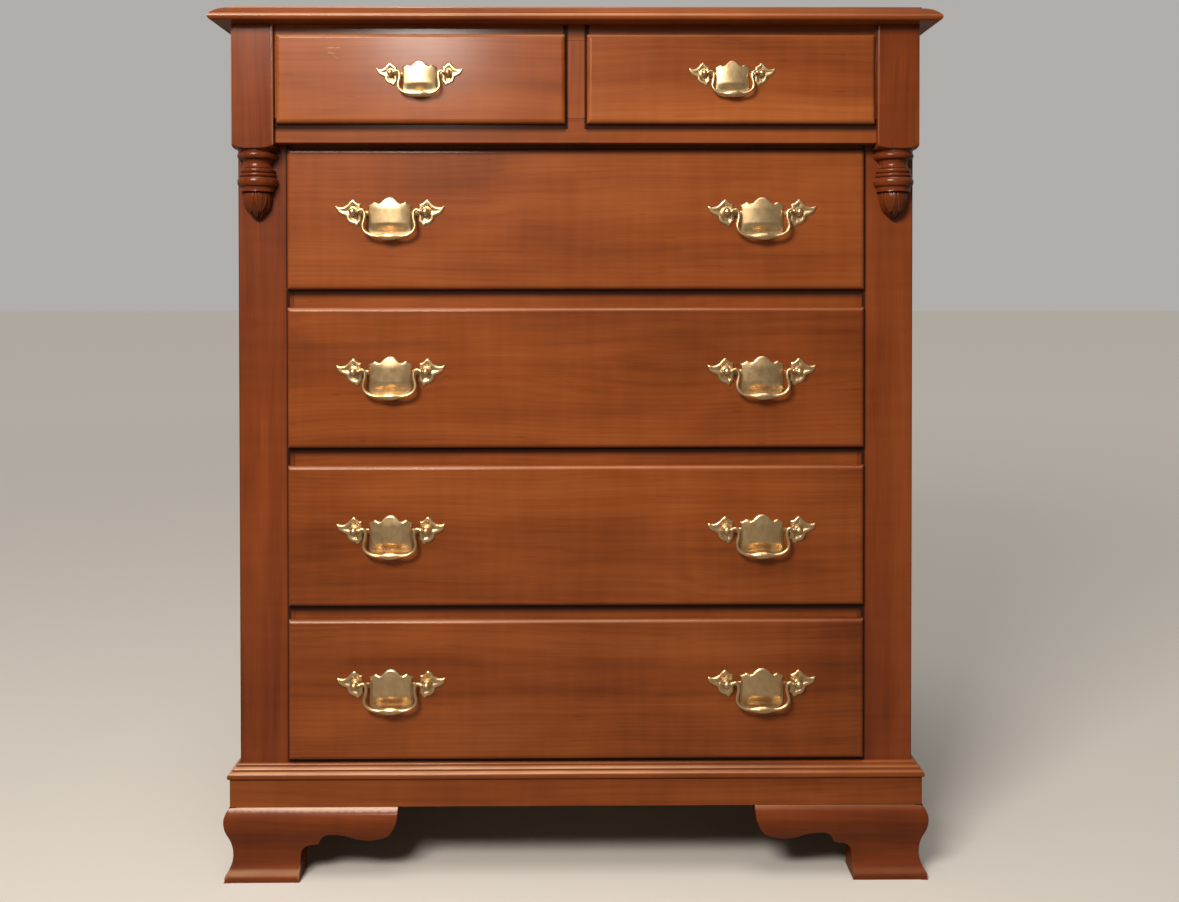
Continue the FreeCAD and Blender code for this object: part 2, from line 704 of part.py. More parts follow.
toe = D.foot_toe_width
front_bracket = bracket("FootFrontBracket", True, -half - D.plinth_reach, 1, D.foot_length, toe)
side_bracket = bracket("FootSideBracket", False, face_y - D.plinth_reach, 1, D.foot_side_length, toe - 10)
rear_bracket = bracket("FootRearBracket", False, back_y, -1, D.foot_side_length, toe - 10)
node(group("FootFrontLeft", [front_bracket, side_bracket]), "foot_front_left")
node(group("FootFrontRight", [mirror("FootFrontMirror", front_bracket),
                              mirror("FootSideMirror", side_bracket)]), "foot_front_right")
inner_x = half + D.plinth_reach - D.foot_thick
rear_board = body("FootBackBoard")
sk = sketch(rear_board, "XZ_Plane", "FootBackOutline", lift=-back_y)
outline(sk, [(-inner_x, 0), (60 - inner_x, 0), (60 - inner_x, 26, 70 - inner_x, 58), (110 - inner_x, 80),
             (110 - inner_x, D.foot_height), (-inner_x, D.foot_height)])
pad(rear_board, sk, "FootBackPad", D.board_thick)
node(group("FeetRear", [rear_bracket, rear_board, mirror("FootRearMirror", rear_bracket),
                        mirror("FootBackMirror", rear_board)]), "feet_rear")
inner_y = face_y - D.plinth_reach + D.foot_thick
block_front = board("GlueBlockFront", -inner_x, D.block_size - inner_x, inner_y, inner_y + D.block_size,
                    4, D.foot_height)
block_rear = board("GlueBlockRear", -inner_x, D.block_size - inner_x, back_y - D.board_thick - D.block_size,
                   back_y - D.board_thick, 4, D.foot_height)
node(group("GlueBlocks", [block_front, mirror("GlueBlockFrontRight", block_front),
                          block_rear, mirror("GlueBlockRearRight", block_rear)]), "glue_blocks")


# ------------------------------------------------------------------- drawers
def drawer(tag, lip_x, box_x, lip_z, inner_z, reach, rise, tails, holes):
    """One drawer, drawn with the lower edge of its opening at z = 0.
    lip_x, box_x: left and right edges of the lip and of the box.
    lip_z, inner_z: lowest and highest edges of the lip and of the part of the
    front inside the opening. reach: face that the lip closes on, in front of
    the stiles. holes: (x, z) of the post holes."""
    lip_back = face_y - reach - D.lip_gap
    inner_back = lip_back + D.front_inner
    front = body(tag + "FrontBody")
    sk = sketch(front, "XZ_Plane", tag + "Lip", lift=-lip_back)
    rectangle(sk, lip_x[0], lip_x[1], lip_z[0], lip_z[1])
    lip = pad(front, sk, tag + "LipPad", D.lip_thick)
    doc.recompute()
    face = (lip_back - D.lip_thick).value
    edges = []
    for i, edge in enumerate(lip.Shape.Edges, start=1):
        if all(abs(v.Y - face) < 1e-6 for v in edge.Vertexes):
            edges.append("Edge%d" % i)
    rounded = front.newObject("PartDesign::Fillet", tag + "LipRound")
    rounded.Base = (lip, edges)
    rounded.Radius = bind(rounded, "Radius", D.front_round)
    front.Tip = rounded
    sk = sketch(front, "XZ_Plane", tag + "Inner", lift=-lip_back)
    rectangle(sk, box_x[0], box_x[1], inner_z[0], inner_z[1])
    pad(front, sk, tag + "InnerPad", D.front_inner, reverse=True)
    before = volume(front)
    sk = sketch(front, "XZ_Plane", tag + "PostHoles")
    for x, z in holes:
        circle(sk, x, z, D.shank_radius + 0.2)
    pocket_through(front, sk, tag + "PostHolesCut")
    check_cut(front, before, tag + " post holes")

    zb = D.drawer_lift
    bottom_z = zb + D.bottom_low
    back_low = bottom_z + D.bottom_thick
    board_end = inner_back - D.tail_length
    rear = D.box_back_y
    thick = D.side_board

    def pins(owner, name, end, way, depth, start, pitch, count):
        """The gaps between dovetails: narrow at the end of the board."""
        sk = sketch(owner, "YZ_Plane", name)
        wide = pitch * 0.22
        narrow = pitch * 0.16
        slope = (wide - narrow) / depth
        out = narrow - slope * 2
        outline(sk, [(end - way * 2, start - out), (end + way * depth, start - wide),
                     (end + way * depth, start + wide), (end - way * 2, start + out)])
        before = volume(owner)
        gap = owner.newObject("PartDesign::Pocket", name + "Cut")
        gap.Profile = sk
        gap.SideType = "Symmetric"
        gap.Type = "ThroughAll"
        before = check_cut(owner, before, name)
        row = owner.newObject("PartDesign::LinearPattern", name + "Row")
        row.Originals = [gap]
        row.Direction = (sk, ["V_Axis"])
        row.Mode = "Extent"
        row.Occurrences = count + 1
        row.Length = bind(row, "Length", pitch * count)
        owner.Tip = row
        check_cut(owner, before, name + " row")

    side = body(tag + "SideBody")
    sk = sketch(side, "YZ_Plane", tag + "SideOutline", lift=box_x[0])
    rectangle(sk, board_end, rear, zb, zb + rise)
    pad(side, sk, tag + "SidePad", thick)
    pins(side, tag + "FrontPins", board_end, 1, D.tail_length, zb, rise / tails, tails)
    back_rise = zb + rise - back_low
    pins(side, tag + "RearPins", rear, -1, thick, back_low, back_rise / tails, tails)
    bottom = board(tag + "BottomBoard", box_x[0] + thick - D.bottom_bite, box_x[1] - thick + D.bottom_bite,
                   inner_back - D.bottom_bite + 1, rear, bottom_z, back_low)
    left = cut(tag + "SideLeft", side, bottom)
    right = mirror(tag + "SideRight", left, (box_x[0] + box_x[1]) / 2)
    sides = group(tag + "Sides", [left, right])
    back_blank = board(tag + "BackBlank", box_x[0], box_x[1], rear - thick, rear, back_low, zb + rise)
    back = cut(tag + "Back", back_blank, sides)
    sockets = group(tag + "Sockets", [sides, bottom])
    front_cut = cut(tag + "Front", front, sockets)
    return front_cut, [left, right, back], bottom


long_front_half = open_half + D.lip
long_box_half = open_half - D.drawer_play
long_mid = D.opening_height / 2
small_lip_low = -D.lip
small_mid = D.small_opening_height / 2
post = D.post_half
small_post = D.post_half * D.pull_small
small_x = D.small_pull_x
long_set = drawer(
    "Long", (-long_front_half, long_front_half), (-long_box_half, long_box_half),
    (-D.lip, D.opening_height + D.lip), (D.front_play, D.opening_height - D.front_play),
    size(0), D.side_rise, 5,
    [(side * D.pull_x + way * post, long_mid + D.pull_rise) for side in (-1, 1) for way in (-1, 1)])
small_set = drawer(
    "Small", (D.small_inner_x, D.small_outer_x), (D.small_box_inner_x, open_half - D.drawer_play),
    (-D.lip, D.small_opening_height + D.lip), (D.front_play, D.small_opening_height - D.front_play),
    D.frieze_reach, D.small_side_rise, 3,
    [(small_x + way * small_post, small_mid + D.small_pull_rise) for way in (-1, 1)])


# --------------------------------------------------------------------- pulls
def pull(tag, k, tall):
    """One bail pull, drawn with the drawer's face at y = 0 and its posts at
    z = 0. k scales the whole pull, and tall its heights."""
    plate = body(tag + "PlateBody")
    right_side = [
        (0, 21), (3.2, 20.7), (5.8, 19.8), (8.4, 18), (10.8, 15.8), (13.6, 13.4), (16.8, 12.2), (19.6, 13.6),
        (22.5, 14.3), (25.4, 12.6), (30.8, 10.2), (30, 5), (29.8, 1.8), (40.2, 1.8), (40.6, 6.5), (41, 11.8),
        (44.2, 12.6), (47.2, 14.8), (50, 17.6), (53, 18), (56.4, 15.8), (59.8, 12), (64.2, 8.6), (69.2, 7.2),
        (76.8, 9.2), (75.4, 5.6), (72.8, 1.6), (69.4, -1.8), (65.6, -4.2), (62.2, -5.8), (61.6, -9.6),
        (59.2, -13.4), (55.2, -16.2), (50.6, -17.4), (48.6, -19.4), (46.2, -20), (44, -18), (41.6, -14.8),
        (39.6, -13.4), (40, -5), (30.2, -5), (30.4, -12), (30.8, -20), (30.6, -27), (28.4, -32), (23.4, -35.2),
        (15, -37), (7, -37.6),
    ]
    points = right_side + [(0, -37.8)] + [(-x, z) for x, z in reversed(right_side[1:])]
    sk = sketch(plate, "XZ_Plane", tag + "PlateOutline")
    outline(sk, [(k * x, tall * z) for x, z in points])
    for way in (-1, 1):
        circle(sk, way * k * D.post_half, 0, D.shank_radius + 0.2)
    pad(plate, sk, tag + "PlatePad", k * D.plate_thick)
    shield = [(0, 18.4), (7.5, 15.2), (14.5, 9.6), (21, 10.6), (27, 7.6), (27, -21), (25, -26), (14, -29.5),
              (0, -30.6)]
    shield = shield + [(-x, z) for x, z in reversed(shield[1:-1])]
    sk = sketch(plate, "XZ_Plane", tag + "ShieldOutline", lift=k * D.plate_thick)
    outline(sk, [(k * x, tall * z) for x, z in shield])
    raised = pad(plate, sk, tag + "ShieldPad", k * D.shield_thick)
    raised.TaperAngle = -40

    # Ball-headed post: ball, neck, collar on the plate, threaded shank.
    shank_end = D.lip_thick + D.front_inner + 6
    made = body(tag + "PostBody")
    sk = sketch(made, "XY_Plane", tag + "PostProfile", right=k * D.post_half)
    stand = k * D.post_stand
    ball = k * D.ball_radius
    neck = k * 2.8
    join = math.sqrt(ball.value ** 2 - neck.value ** 2) / k.value
    outline(sk, [
        (0, shank_end), (0, -stand - ball * 0.994522), (ball * 0.104528, -stand - ball * 0.994522, ball, -stand),
        (neck, k * join - stand), (neck, k * -4.4), (k * 5, k * -3.6), (k * 5.5, k * -2.6),
        (k * 5.5, -k * D.plate_thick), (D.shank_radius, -k * D.plate_thick), (D.shank_radius, shank_end),
    ])
    turn = made.newObject("PartDesign::Revolution", tag + "PostTurn")
    turn.Profile = sk
    turn.ReferenceAxis = (sk, ["V_Axis"])
    turn.Angle = 360
    before = volume(made)
    sk = sketch(made, "YZ_Plane", tag + "PinHole", lift=k * (D.post_half - 0.8))
    circle(sk, -stand, 0, k * D.pin_bore)
    hole = made.newObject("PartDesign::Pocket", tag + "PinHoleCut")
    hole.Profile = sk
    hole.Length = bind(hole, "Length", k * 8)
    check_cut(made, before, tag + " pin hole")
    nut = body(tag + "NutBody")
    nut_face = D.lip_thick + D.front_inner
    sk = sketch(nut, "XZ_Plane", tag + "NutOutline", lift=-nut_face - 3, right=k * D.post_half)
    outline(sk, [(4.62 * math.cos(math.radians(a)), 4.62 * math.sin(math.radians(a))) for a in range(0, 360, 60)])
    circle(sk, 0, 0, D.shank_radius)
    pad(nut, sk, tag + "NutPad", 3)
    posts = [made, mirror(tag + "PostLeft", made), nut, mirror(tag + "NutLeft", nut)]

    # Bail: two pins, arms that turn down from them, and a swelling grip.
    r = k * D.pin_radius
    arm = k * D.bail_half
    drop = tall * D.bail_drop
    upper = k * 5
    lower = k * 10
    pin_end = k * (D.post_half - 1.3)

    def rod(name, length, rotation, x, y, z):
        made = doc.addObject("Part::Cylinder", name)
        made.Radius = bind(made, "Radius", r)
        made.Height = bind(made, "Height", length)
        put(made, x, y, z, rotation)
        return made

    def bend(name, radius, rotation, x, y, z):
        made = doc.addObject("Part::Torus", name)
        made.Radius1 = bind(made, "Radius1", radius)
        made.Radius2 = bind(made, "Radius2", r)
        made.Angle3 = 90
        put(made, x, y, z, rotation)
        return made

    along_x = Rotation(Vector(0, 1, 0), 90)
    over = Rotation(Vector(0, 0, 1), Vector(-1, 0, 0), Vector(0, -1, 0), "XYZ")
    under = Rotation(Vector(0, 0, -1), Vector(1, 0, 0), Vector(0, -1, 0), "XYZ")
    half_bail = [
        rod(tag + "BailPin", pin_end - arm - upper, along_x, arm + upper, -stand, 0),
        bend(tag + "BailUpper", upper, over, arm + upper, -stand, -upper),
        rod(tag + "BailArm", drop - upper - lower, Rotation(), arm, -stand, lower - drop),
        bend(tag + "BailLower", lower, under, arm - lower, -stand, lower - drop),
    ]
    side = fuse(tag + "BailSide", half_bail)
    grip = body(tag + "GripBody")
    sk = sketch(grip, "XZ_Plane", tag + "GripProfile", lift=stand, up=-drop)
    end = arm - lower
    outline(sk, [(-end, 0), (-end, r, 0, k * D.grip_radius), (end, r), (end, 0)])
    turn = grip.newObject("PartDesign::Revolution", tag + "GripTurn")
    turn.Profile = sk
    turn.ReferenceAxis = (sk, ["H_Axis"])
    turn.Angle = 360
    bail = fuse(tag + "Bail", [side, mirror(tag + "BailMirror", side), grip])
    return plate, posts, bail


large = pull("Large", D.pull_large, D.pull_large)
small = pull("SmallPull", D.pull_small, D.pull_small_tall)

# ---------------------------------------------------------- placed in the case
long_face = face_y - D.lip_gap - D.lip_thick
small_face = face_y - D.frieze_reach - D.lip_gap - D.lip_thick


LEAN = 5  # degrees a hanging bail leans out, its grip clear of the plate


def place(label, kit, pulls, k, drawer_x, drawer_z, face, mid, spots):
    """Puts one drawer's own pieces and its pulls in the case."""
    front, box, bottom = kit
    plate, posts, bail = pulls
    tag = "".join(word.capitalize() for word in label.split("_"))
    node(group(tag + "Front", [front], drawer_x, 0, drawer_z), label + "_front")
    node(group(tag + "Box", box, drawer_x, 0, drawer_z), label + "_box")
    node(group(tag + "Bottom", [bottom], drawer_x, 0, drawer_z), label + "_bottom")
    plates = [group(tag + "Plate" + name, [plate], x, face, drawer_z + mid) for name, x in spots]
    sets = [group(tag + "Posts" + name, posts, x, face, drawer_z + mid) for name, x in spots]
    node(group(tag + "Plates", plates), label + "_pull_plates")
    node(group(tag + "PostSets", sets), label + "_pull_posts")
    # The bail turns about its pins, which stay where the posts hold them.
    stand = k * D.post_stand
    back = stand * (1 - math.cos(math.radians(LEAN)))
    down = stand * math.sin(math.radians(LEAN))
    lean = Rotation(Vector(1, 0, 0), -LEAN)
    for name, x in spots:
        suffix = "_bail" + ("_" + name.lower() if len(spots) > 1 else "")
        node(group(tag + "Bail" + name, [bail], x, face - back, drawer_z + mid - down, lean), label + suffix)


small_rise = small_mid + D.small_pull_rise
small_mirrored = (mirror("SmallLeftFront", small_set[0]),
                  [mirror("SmallLeftBox%d" % i, piece) for i, piece in enumerate(small_set[1])],
                  mirror("SmallLeftBottom", small_set[2]))
place("upper_left_drawer", small_mirrored, small, D.pull_small, size(0), D.small_opening_z,
      small_face, small_rise, [("Only", -small_x)])
place("upper_right_drawer", small_set, small, D.pull_small, size(0), D.small_opening_z,
      small_face, small_rise, [("Only", small_x)])
for count, level in enumerate(reversed(LEVELS), start=1):
    place("long_drawer_%d" % count, long_set, large, D.pull_large, size(0), level,
          long_face, long_mid + D.pull_rise, [("Left", -D.pull_x), ("Right", D.pull_x)])

# --------------------------------------------------------------------- output
doc.recompute()
for obj in doc.Objects:
    if "Invalid" in obj.State or "Error" in obj.State:
        raise RuntimeError("failed: %s %s" % (obj.Name, obj.State))
if len(NODES) > 60:
    raise RuntimeError("too many nodes: %d" % len(NODES))
for obj in NODES:
    shape = obj.Shape
    if shape.isNull() or not shape.isValid() or not shape.Solids:
        raise RuntimeError("bad shape: " + obj.Label)
for obj in NODES:
    obj.Shape.exportStep("parts/%s.step" % obj.Label)
    print("%-32s solids %2d  volume %.0f" % (obj.Label, len(obj.Shape.Solids), obj.Shape.Volume))
print("nodes:", len(NODES))
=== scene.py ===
import math
import random

import bmesh
import bpy
import numpy as np
from mathutils import Matrix, Vector
from mathutils.geometry import delaunay_2d_cdt


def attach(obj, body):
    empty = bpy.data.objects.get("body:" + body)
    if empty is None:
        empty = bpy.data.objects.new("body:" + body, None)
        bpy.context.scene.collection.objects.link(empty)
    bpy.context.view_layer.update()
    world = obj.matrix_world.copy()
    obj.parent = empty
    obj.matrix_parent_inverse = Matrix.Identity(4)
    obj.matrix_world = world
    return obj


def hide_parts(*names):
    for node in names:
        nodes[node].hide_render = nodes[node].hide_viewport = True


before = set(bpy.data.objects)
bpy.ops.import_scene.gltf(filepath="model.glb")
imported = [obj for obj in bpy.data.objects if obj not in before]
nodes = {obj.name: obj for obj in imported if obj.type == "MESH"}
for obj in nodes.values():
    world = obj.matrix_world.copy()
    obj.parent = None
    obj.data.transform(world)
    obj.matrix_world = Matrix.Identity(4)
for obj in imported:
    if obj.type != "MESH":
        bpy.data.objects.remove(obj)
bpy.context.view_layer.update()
scene = bpy.context.scene

# Sizes in millimetres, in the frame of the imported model.
HALF = 477.5            # outside of the case
FACE = -198.5           # front of the stiles
BACK = 256.5            # back of the case
TOP_LOW = 1203.0
TOP = 1226.0
OPEN = 399.5            # half of a long opening
LEVELS = {1: 842.75, 2: 618.75, 3: 395.0, 4: 177.0}
LONG_FACE = FACE - 9.0
SMALL_FACE = FACE - 25.0 - 9.0


# ------------------------------------------------------------------ materials
def tree(name):
    material = bpy.data.materials.new(name)
    material.use_nodes = True
    material.node_tree.nodes.clear()
    return material, material.node_tree


def put(nt, kind, inputs=None, **props):
    made = nt.nodes.new(kind)
    for key, value in props.items():
        setattr(made, key, value)
    for key, value in (inputs or {}).items():
        if isinstance(value, bpy.types.NodeSocket):
            nt.links.new(value, made.inputs[key])
        else:
            made.inputs[key].default_value = value
    return made


def math_node(nt, operation, a, b=0.0, c=0.0, clamp=False):
    made = put(nt, "ShaderNodeMath", {0: a, 1: b, 2: c}, operation=operation)
    made.use_clamp = clamp
    return made.outputs[0]


def scaled(nt, vector, by):
    return put(nt, "ShaderNodeVectorMath", {0: vector, 1: by}, operation="MULTIPLY").outputs[0]


def noise(nt, vector, by, detail=2.0, rough=0.5, distortion=0.0):
    made = put(nt, "ShaderNodeTexNoise", {"Vector": scaled(nt, vector, by), "Scale": 1.0, "Detail": detail,
                                          "Roughness": rough, "Distortion": distortion})
    return made.outputs["Fac"]


def ramp(nt, value, stops):
    made = put(nt, "ShaderNodeValToRGB", {"Fac": value})
    band = made.color_ramp
    while len(band.elements) < len(stops):
        band.elements.new(0.5)
    for element, (at, colour) in zip(band.elements, stops):
        element.position = at
        element.color = (*colour, 1.0) if len(colour) == 3 else colour
    return made.outputs["Color"]


def mix_colour(nt, fac, a, b, kind="MIX"):
    made = put(nt, "ShaderNodeMix", data_type="RGBA", blend_type=kind)
    for index, value in ((0, fac), (6, a), (7, b)):
        if isinstance(value, bpy.types.NodeSocket):
            nt.links.new(value, made.inputs[index])
        else:
            made.inputs[index].default_value = value if index == 0 else (*value, 1.0)
    return made.outputs[2]


def grain_of(nt, order, origin):
    """Coordinates in metres with the first one along the grain, the second
    through the board and the third across it."""
    if order is None:
        return put(nt, "ShaderNodeAttribute", attribute_name="grain").outputs["Vector"]
    place = put(nt, "ShaderNodeTexCoord").outputs["Object"]
    parts = put(nt, "ShaderNodeSeparateXYZ", {0: place})
    turned = put(nt, "ShaderNodeCombineXYZ", {i: parts.outputs["xyz".index(c)] for i, c in enumerate(order)})
    return put(nt, "ShaderNodeVectorMath", {0: turned.outputs[0], 1: origin}, operation="ADD").outputs[0]


FINISHED = [(0.0, (0.058, 0.0115, 0.0026)), (0.30, (0.160, 0.0355, 0.0070)), (0.52, (0.250, 0.0600, 0.0120)),
            (0.74, (0.335, 0.0900, 0.0200)), (1.0, (0.46, 0.145, 0.038))]
RED = [(0.0, (0.052, 0.0095, 0.0026)), (0.30, (0.138, 0.0270, 0.0060)), (0.52, (0.210, 0.0450, 0.0100)),
       (0.74, (0.280, 0.0680, 0.0165)), (1.0, (0.39, 0.115, 0.032))]
RAW = [(0.0, (0.30, 0.185, 0.095)), (0.35, (0.44, 0.30, 0.165)), (0.6, (0.55, 0.39, 0.23)), (1.0, (0.66, 0.50, 0.32))]
PLY = [(0.0, (0.27, 0.165, 0.085)), (0.35, (0.40, 0.27, 0.15)), (0.6, (0.49, 0.34, 0.20)), (1.0, (0.58, 0.43, 0.27))]


def wood(name, order=None, origin=(0.0, 0.0, 0.0), tones=FINISHED, raw_behind=None, lacquer=True, across_from=None,
         light=0.0, marks=(), polish=0.0, rub_and_highlight_at=None, side_dirt_and_shadow=(), side_dirt_and_shadow_from=0.0, painted_shadows_below=(), between=(-1.0, 9.0), ends=0.0):
    """Wood with its fibres, growth rings, stain blotches and finish.
    raw_behind: the bare wood starts at this height along +Y.
    rub: height of an edge painted lighter, in metres: partly wear that thins the stain and partly a painted highlight.
    seams: (x from, x to, strength) of dark colour beside a lip, on both sides, above the height
    side_dirt_and_shadow_from: partly dirt in the corner and partly a painted shadow.
    shades: (height, reach below it, strength) of a painted shadow under a lip, where |x| is between the two values.
    ends: how much darker the colour is painted at the two ends of a board, painted shade where the light falls off.
    across_from: (y) past which the grain runs along X instead of order."""
    material, nt = tree(name)
    p = grain_of(nt, order, origin)
    if across_from is not None:
        place = put(nt, "ShaderNodeTexCoord").outputs["Object"]
        parts = put(nt, "ShaderNodeSeparateXYZ", {0: place})
        past = math_node(nt, "GREATER_THAN", parts.outputs[1], across_from)
        swap = put(nt, "ShaderNodeMix", data_type="VECTOR")
        nt.links.new(past, swap.inputs[0])
        nt.links.new(p, swap.inputs[4])
        nt.links.new(grain_of(nt, "xyz", origin), swap.inputs[5])
        p = swap.outputs[1]
    # The fibres wander a little from side to side.
    sway = put(nt, "ShaderNodeTexNoise", {"Vector": scaled(nt, p, (2.2, 5.0, 5.0)), "Scale": 1.0, "Detail": 2.0})
    sway_v = put(nt, "ShaderNodeVectorMath", {0: sway.outputs["Color"], 1: (0.5, 0.5, 0.5)}, operation="SUBTRACT").outputs[0]
    sway_v = scaled(nt, sway_v, (0.0, 0.020, 0.030))
    q = put(nt, "ShaderNodeVectorMath", {0: p, 1: sway_v}, operation="ADD").outputs[0]
    # Growth rings round a pith behind the board.
    ring_p = put(nt, "ShaderNodeVectorMath", {0: scaled(nt, q, (0.10, 1.0, 1.0)), 1: (0.0, -0.085, 0.0)}, operation="ADD").outputs[0]
    ring_parts = put(nt, "ShaderNodeSeparateXYZ", {0: ring_p})
    flat = put(nt, "ShaderNodeCombineXYZ", {1: ring_parts.outputs[1], 2: ring_parts.outputs[2]})
    radius = put(nt, "ShaderNodeVectorMath", {0: flat.outputs[0]}, operation="LENGTH").outputs["Value"]
    drift = noise(nt, p, (1.1, 9.0, 9.0), 2.0)
    radius = math_node(nt, "ADD", radius, math_node(nt, "MULTIPLY", drift, 0.030))
    phase = math_node(nt, "MULTIPLY", radius, 1150.0)
    rings = math_node(nt, "MULTIPLY_ADD", math_node(nt, "SINE", phase), 0.5, 0.5)
    rings = math_node(nt, "POWER", rings, 2.2)
    streak = noise(nt, q, (1.3, 46.0, 46.0), 4.0, 0.62)
    bands = noise(nt, q, (0.55, 13.0, 13.0), 3.0, 0.55)
    blotch = noise(nt, p, (4.6, 10.0, 10.0), 2.5, 0.55, 0.4)
    cloud = noise(nt, p, (1.7, 3.4, 3.4), 1.0)
    fibre = noise(nt, q, (9.0, 620.0, 620.0), 2.0, 0.6)
    figure = noise(nt, p, (62.0, 7.0, 7.0), 1.0)
    total = math_node(nt, "ADD", 0.52 + light, math_node(nt, "MULTIPLY", math_node(nt, "SUBTRACT", streak, 0.5), 0.42))
    for value, amount in ((bands, 0.50), (blotch, 0.52), (cloud, 0.46), (fibre, 0.20), (figure, 0.12)):
        total = math_node(nt, "ADD", total, math_node(nt, "MULTIPLY", math_node(nt, "SUBTRACT", value, 0.5), amount))
    total = math_node(nt, "SUBTRACT", total, math_node(nt, "MULTIPLY", rings, 0.050))
    # Painted shade towards the two ends of the board.
    if ends:
        place = put(nt, "ShaderNodeTexCoord").outputs["Object"]
        parts = put(nt, "ShaderNodeSeparateXYZ", {0: place})
        reach = math_node(nt, "POWER", math_node(nt, "DIVIDE", math_node(nt, "ABSOLUTE", parts.outputs[0]), 0.40), 2.0)
        total = math_node(nt, "SUBTRACT", total, math_node(nt, "MULTIPLY", reach, ends))
    # Short dark flecks along the grain.
    fleck = noise(nt, q, (26.0, 300.0, 300.0), 1.0)
    fleck = math_node(nt, "MULTIPLY", math_node(nt, "SUBTRACT", fleck, 0.71, clamp=True), 1.4)
    total = math_node(nt, "SUBTRACT", total, fleck, clamp=True)
    colour = ramp(nt, total, tones)
    # A positive recess paints the colour darker: partly stain gathered in hollows and creases and partly painted shade.
    recess = put(nt, "ShaderNodeAttribute", attribute_name="recess").outputs["Fac"]
    colour = mix_colour(nt, math_node(nt, "MULTIPLY", recess, 0.86), colour, (0.020, 0.0048, 0.0016))
    # A negative recess paints a part lighter: partly wear that thins the stain and partly a painted highlight.
    patchy = math_node(nt, "MULTIPLY_ADD", noise(nt, p, (14.0, 60.0, 60.0), 2.0), 1.1, 0.35)
    thin = math_node(nt, "MULTIPLY", math_node(nt, "MULTIPLY", recess, -1.0, clamp=True), patchy)
    # Along the given height the lip's top edge is painted lighter, a painted highlight with some wear.
    if rub_and_highlight_at is not None:
        place = put(nt, "ShaderNodeTexCoord").outputs["Object"]
        parts = put(nt, "ShaderNodeSeparateXYZ", {0: place})
        away = math_node(nt, "DIVIDE", math_node(nt, "ABSOLUTE", math_node(nt, "SUBTRACT", parts.outputs[2], rub_and_highlight_at)), 0.0026)
        line = math_node(nt, "SUBTRACT", 1.0, away, clamp=True)
        thin = math_node(nt, "ADD", thin, math_node(nt, "MULTIPLY", math_node(nt, "MULTIPLY", line, patchy), 0.42))
    # The painted highlights fade towards +X: painted light falling off away from the lamps at the left.
    place = put(nt, "ShaderNodeTexCoord").outputs["Object"]
    parts = put(nt, "ShaderNodeSeparateXYZ", {0: place})
    fade = math_node(nt, "MULTIPLY", math_node(nt, "DIVIDE", math_node(nt, "SUBTRACT", parts.outputs[0], 0.04), 0.34, clamp=True), 0.78)
    thin = math_node(nt, "MULTIPLY", thin, math_node(nt, "SUBTRACT", 1.0, fade))
    colour = mix_colour(nt, thin, colour, (0.68, 0.37, 0.20))
    # Painted shadow under the drawer lips and beside them, with some dirt in the corners beside them; these strips are
    # also made rougher.
    if side_dirt_and_shadow or painted_shadows_below:
        place = put(nt, "ShaderNodeTexCoord").outputs["Object"]
        parts = put(nt, "ShaderNodeSeparateXYZ", {0: place})
        shadow_and_dirt_mask = None
        for (near, far, strength) in side_dirt_and_shadow:
            off = math_node(nt, "DIVIDE", math_node(nt, "SUBTRACT", math_node(nt, "ABSOLUTE", parts.outputs[0]), near), far - near)
            line = math_node(nt, "MULTIPLY", math_node(nt, "SUBTRACT", 1.0, off, clamp=True), 1.9)
            line = math_node(nt, "MULTIPLY", math_node(nt, "MINIMUM", line, 1.0), strength)
            line = math_node(nt, "MULTIPLY", line, math_node(nt, "GREATER_THAN", off, -0.6))
            line = math_node(nt, "MULTIPLY", line, math_node(nt, "GREATER_THAN", parts.outputs[2], side_dirt_and_shadow_from))
            shadow_and_dirt_mask = line if shadow_and_dirt_mask is None else math_node(nt, "MAXIMUM", shadow_and_dirt_mask, line)
        for (height, below, strength) in painted_shadows_below:
            off = math_node(nt, "DIVIDE", math_node(nt, "SUBTRACT", height, parts.outputs[2]), below)
            line = math_node(nt, "MULTIPLY", math_node(nt, "SUBTRACT", 1.0, off, clamp=True), 1.9)
            line = math_node(nt, "MULTIPLY", math_node(nt, "MINIMUM", line, 1.0), strength)
            line = math_node(nt, "MULTIPLY", line, math_node(nt, "GREATER_THAN", off, -0.6))
            across = math_node(nt, "ABSOLUTE", parts.outputs[0])
            line = math_node(nt, "MULTIPLY", line, math_node(nt, "GREATER_THAN", across, between[0]))
            line = math_node(nt, "MULTIPLY", line, math_node(nt, "LESS_THAN", across, between[1]))
            shadow_and_dirt_mask = line if shadow_and_dirt_mask is None else math_node(nt, "MAXIMUM", shadow_and_dirt_mask, line)
        colour = mix_colour(nt, shadow_and_dirt_mask, colour, (0.016, 0.0026, 0.0006))
    rough_base = 0.30 - polish if lacquer else 0.62
    rough = math_node(nt, "ADD", rough_base, math_node(nt, "MULTIPLY", noise(nt, p, (7.0, 26.0, 26.0), 3.0), 0.16))
    if side_dirt_and_shadow or painted_shadows_below:
        rough = math_node(nt, "MULTIPLY_ADD", shadow_and_dirt_mask, 0.6, rough, clamp=True)
    bump_height = math_node(nt, "ADD", math_node(nt, "MULTIPLY", fibre, 0.5), math_node(nt, "MULTIPLY", streak, 0.5))
    for (x0, z0, x1, z1, wide) in marks:
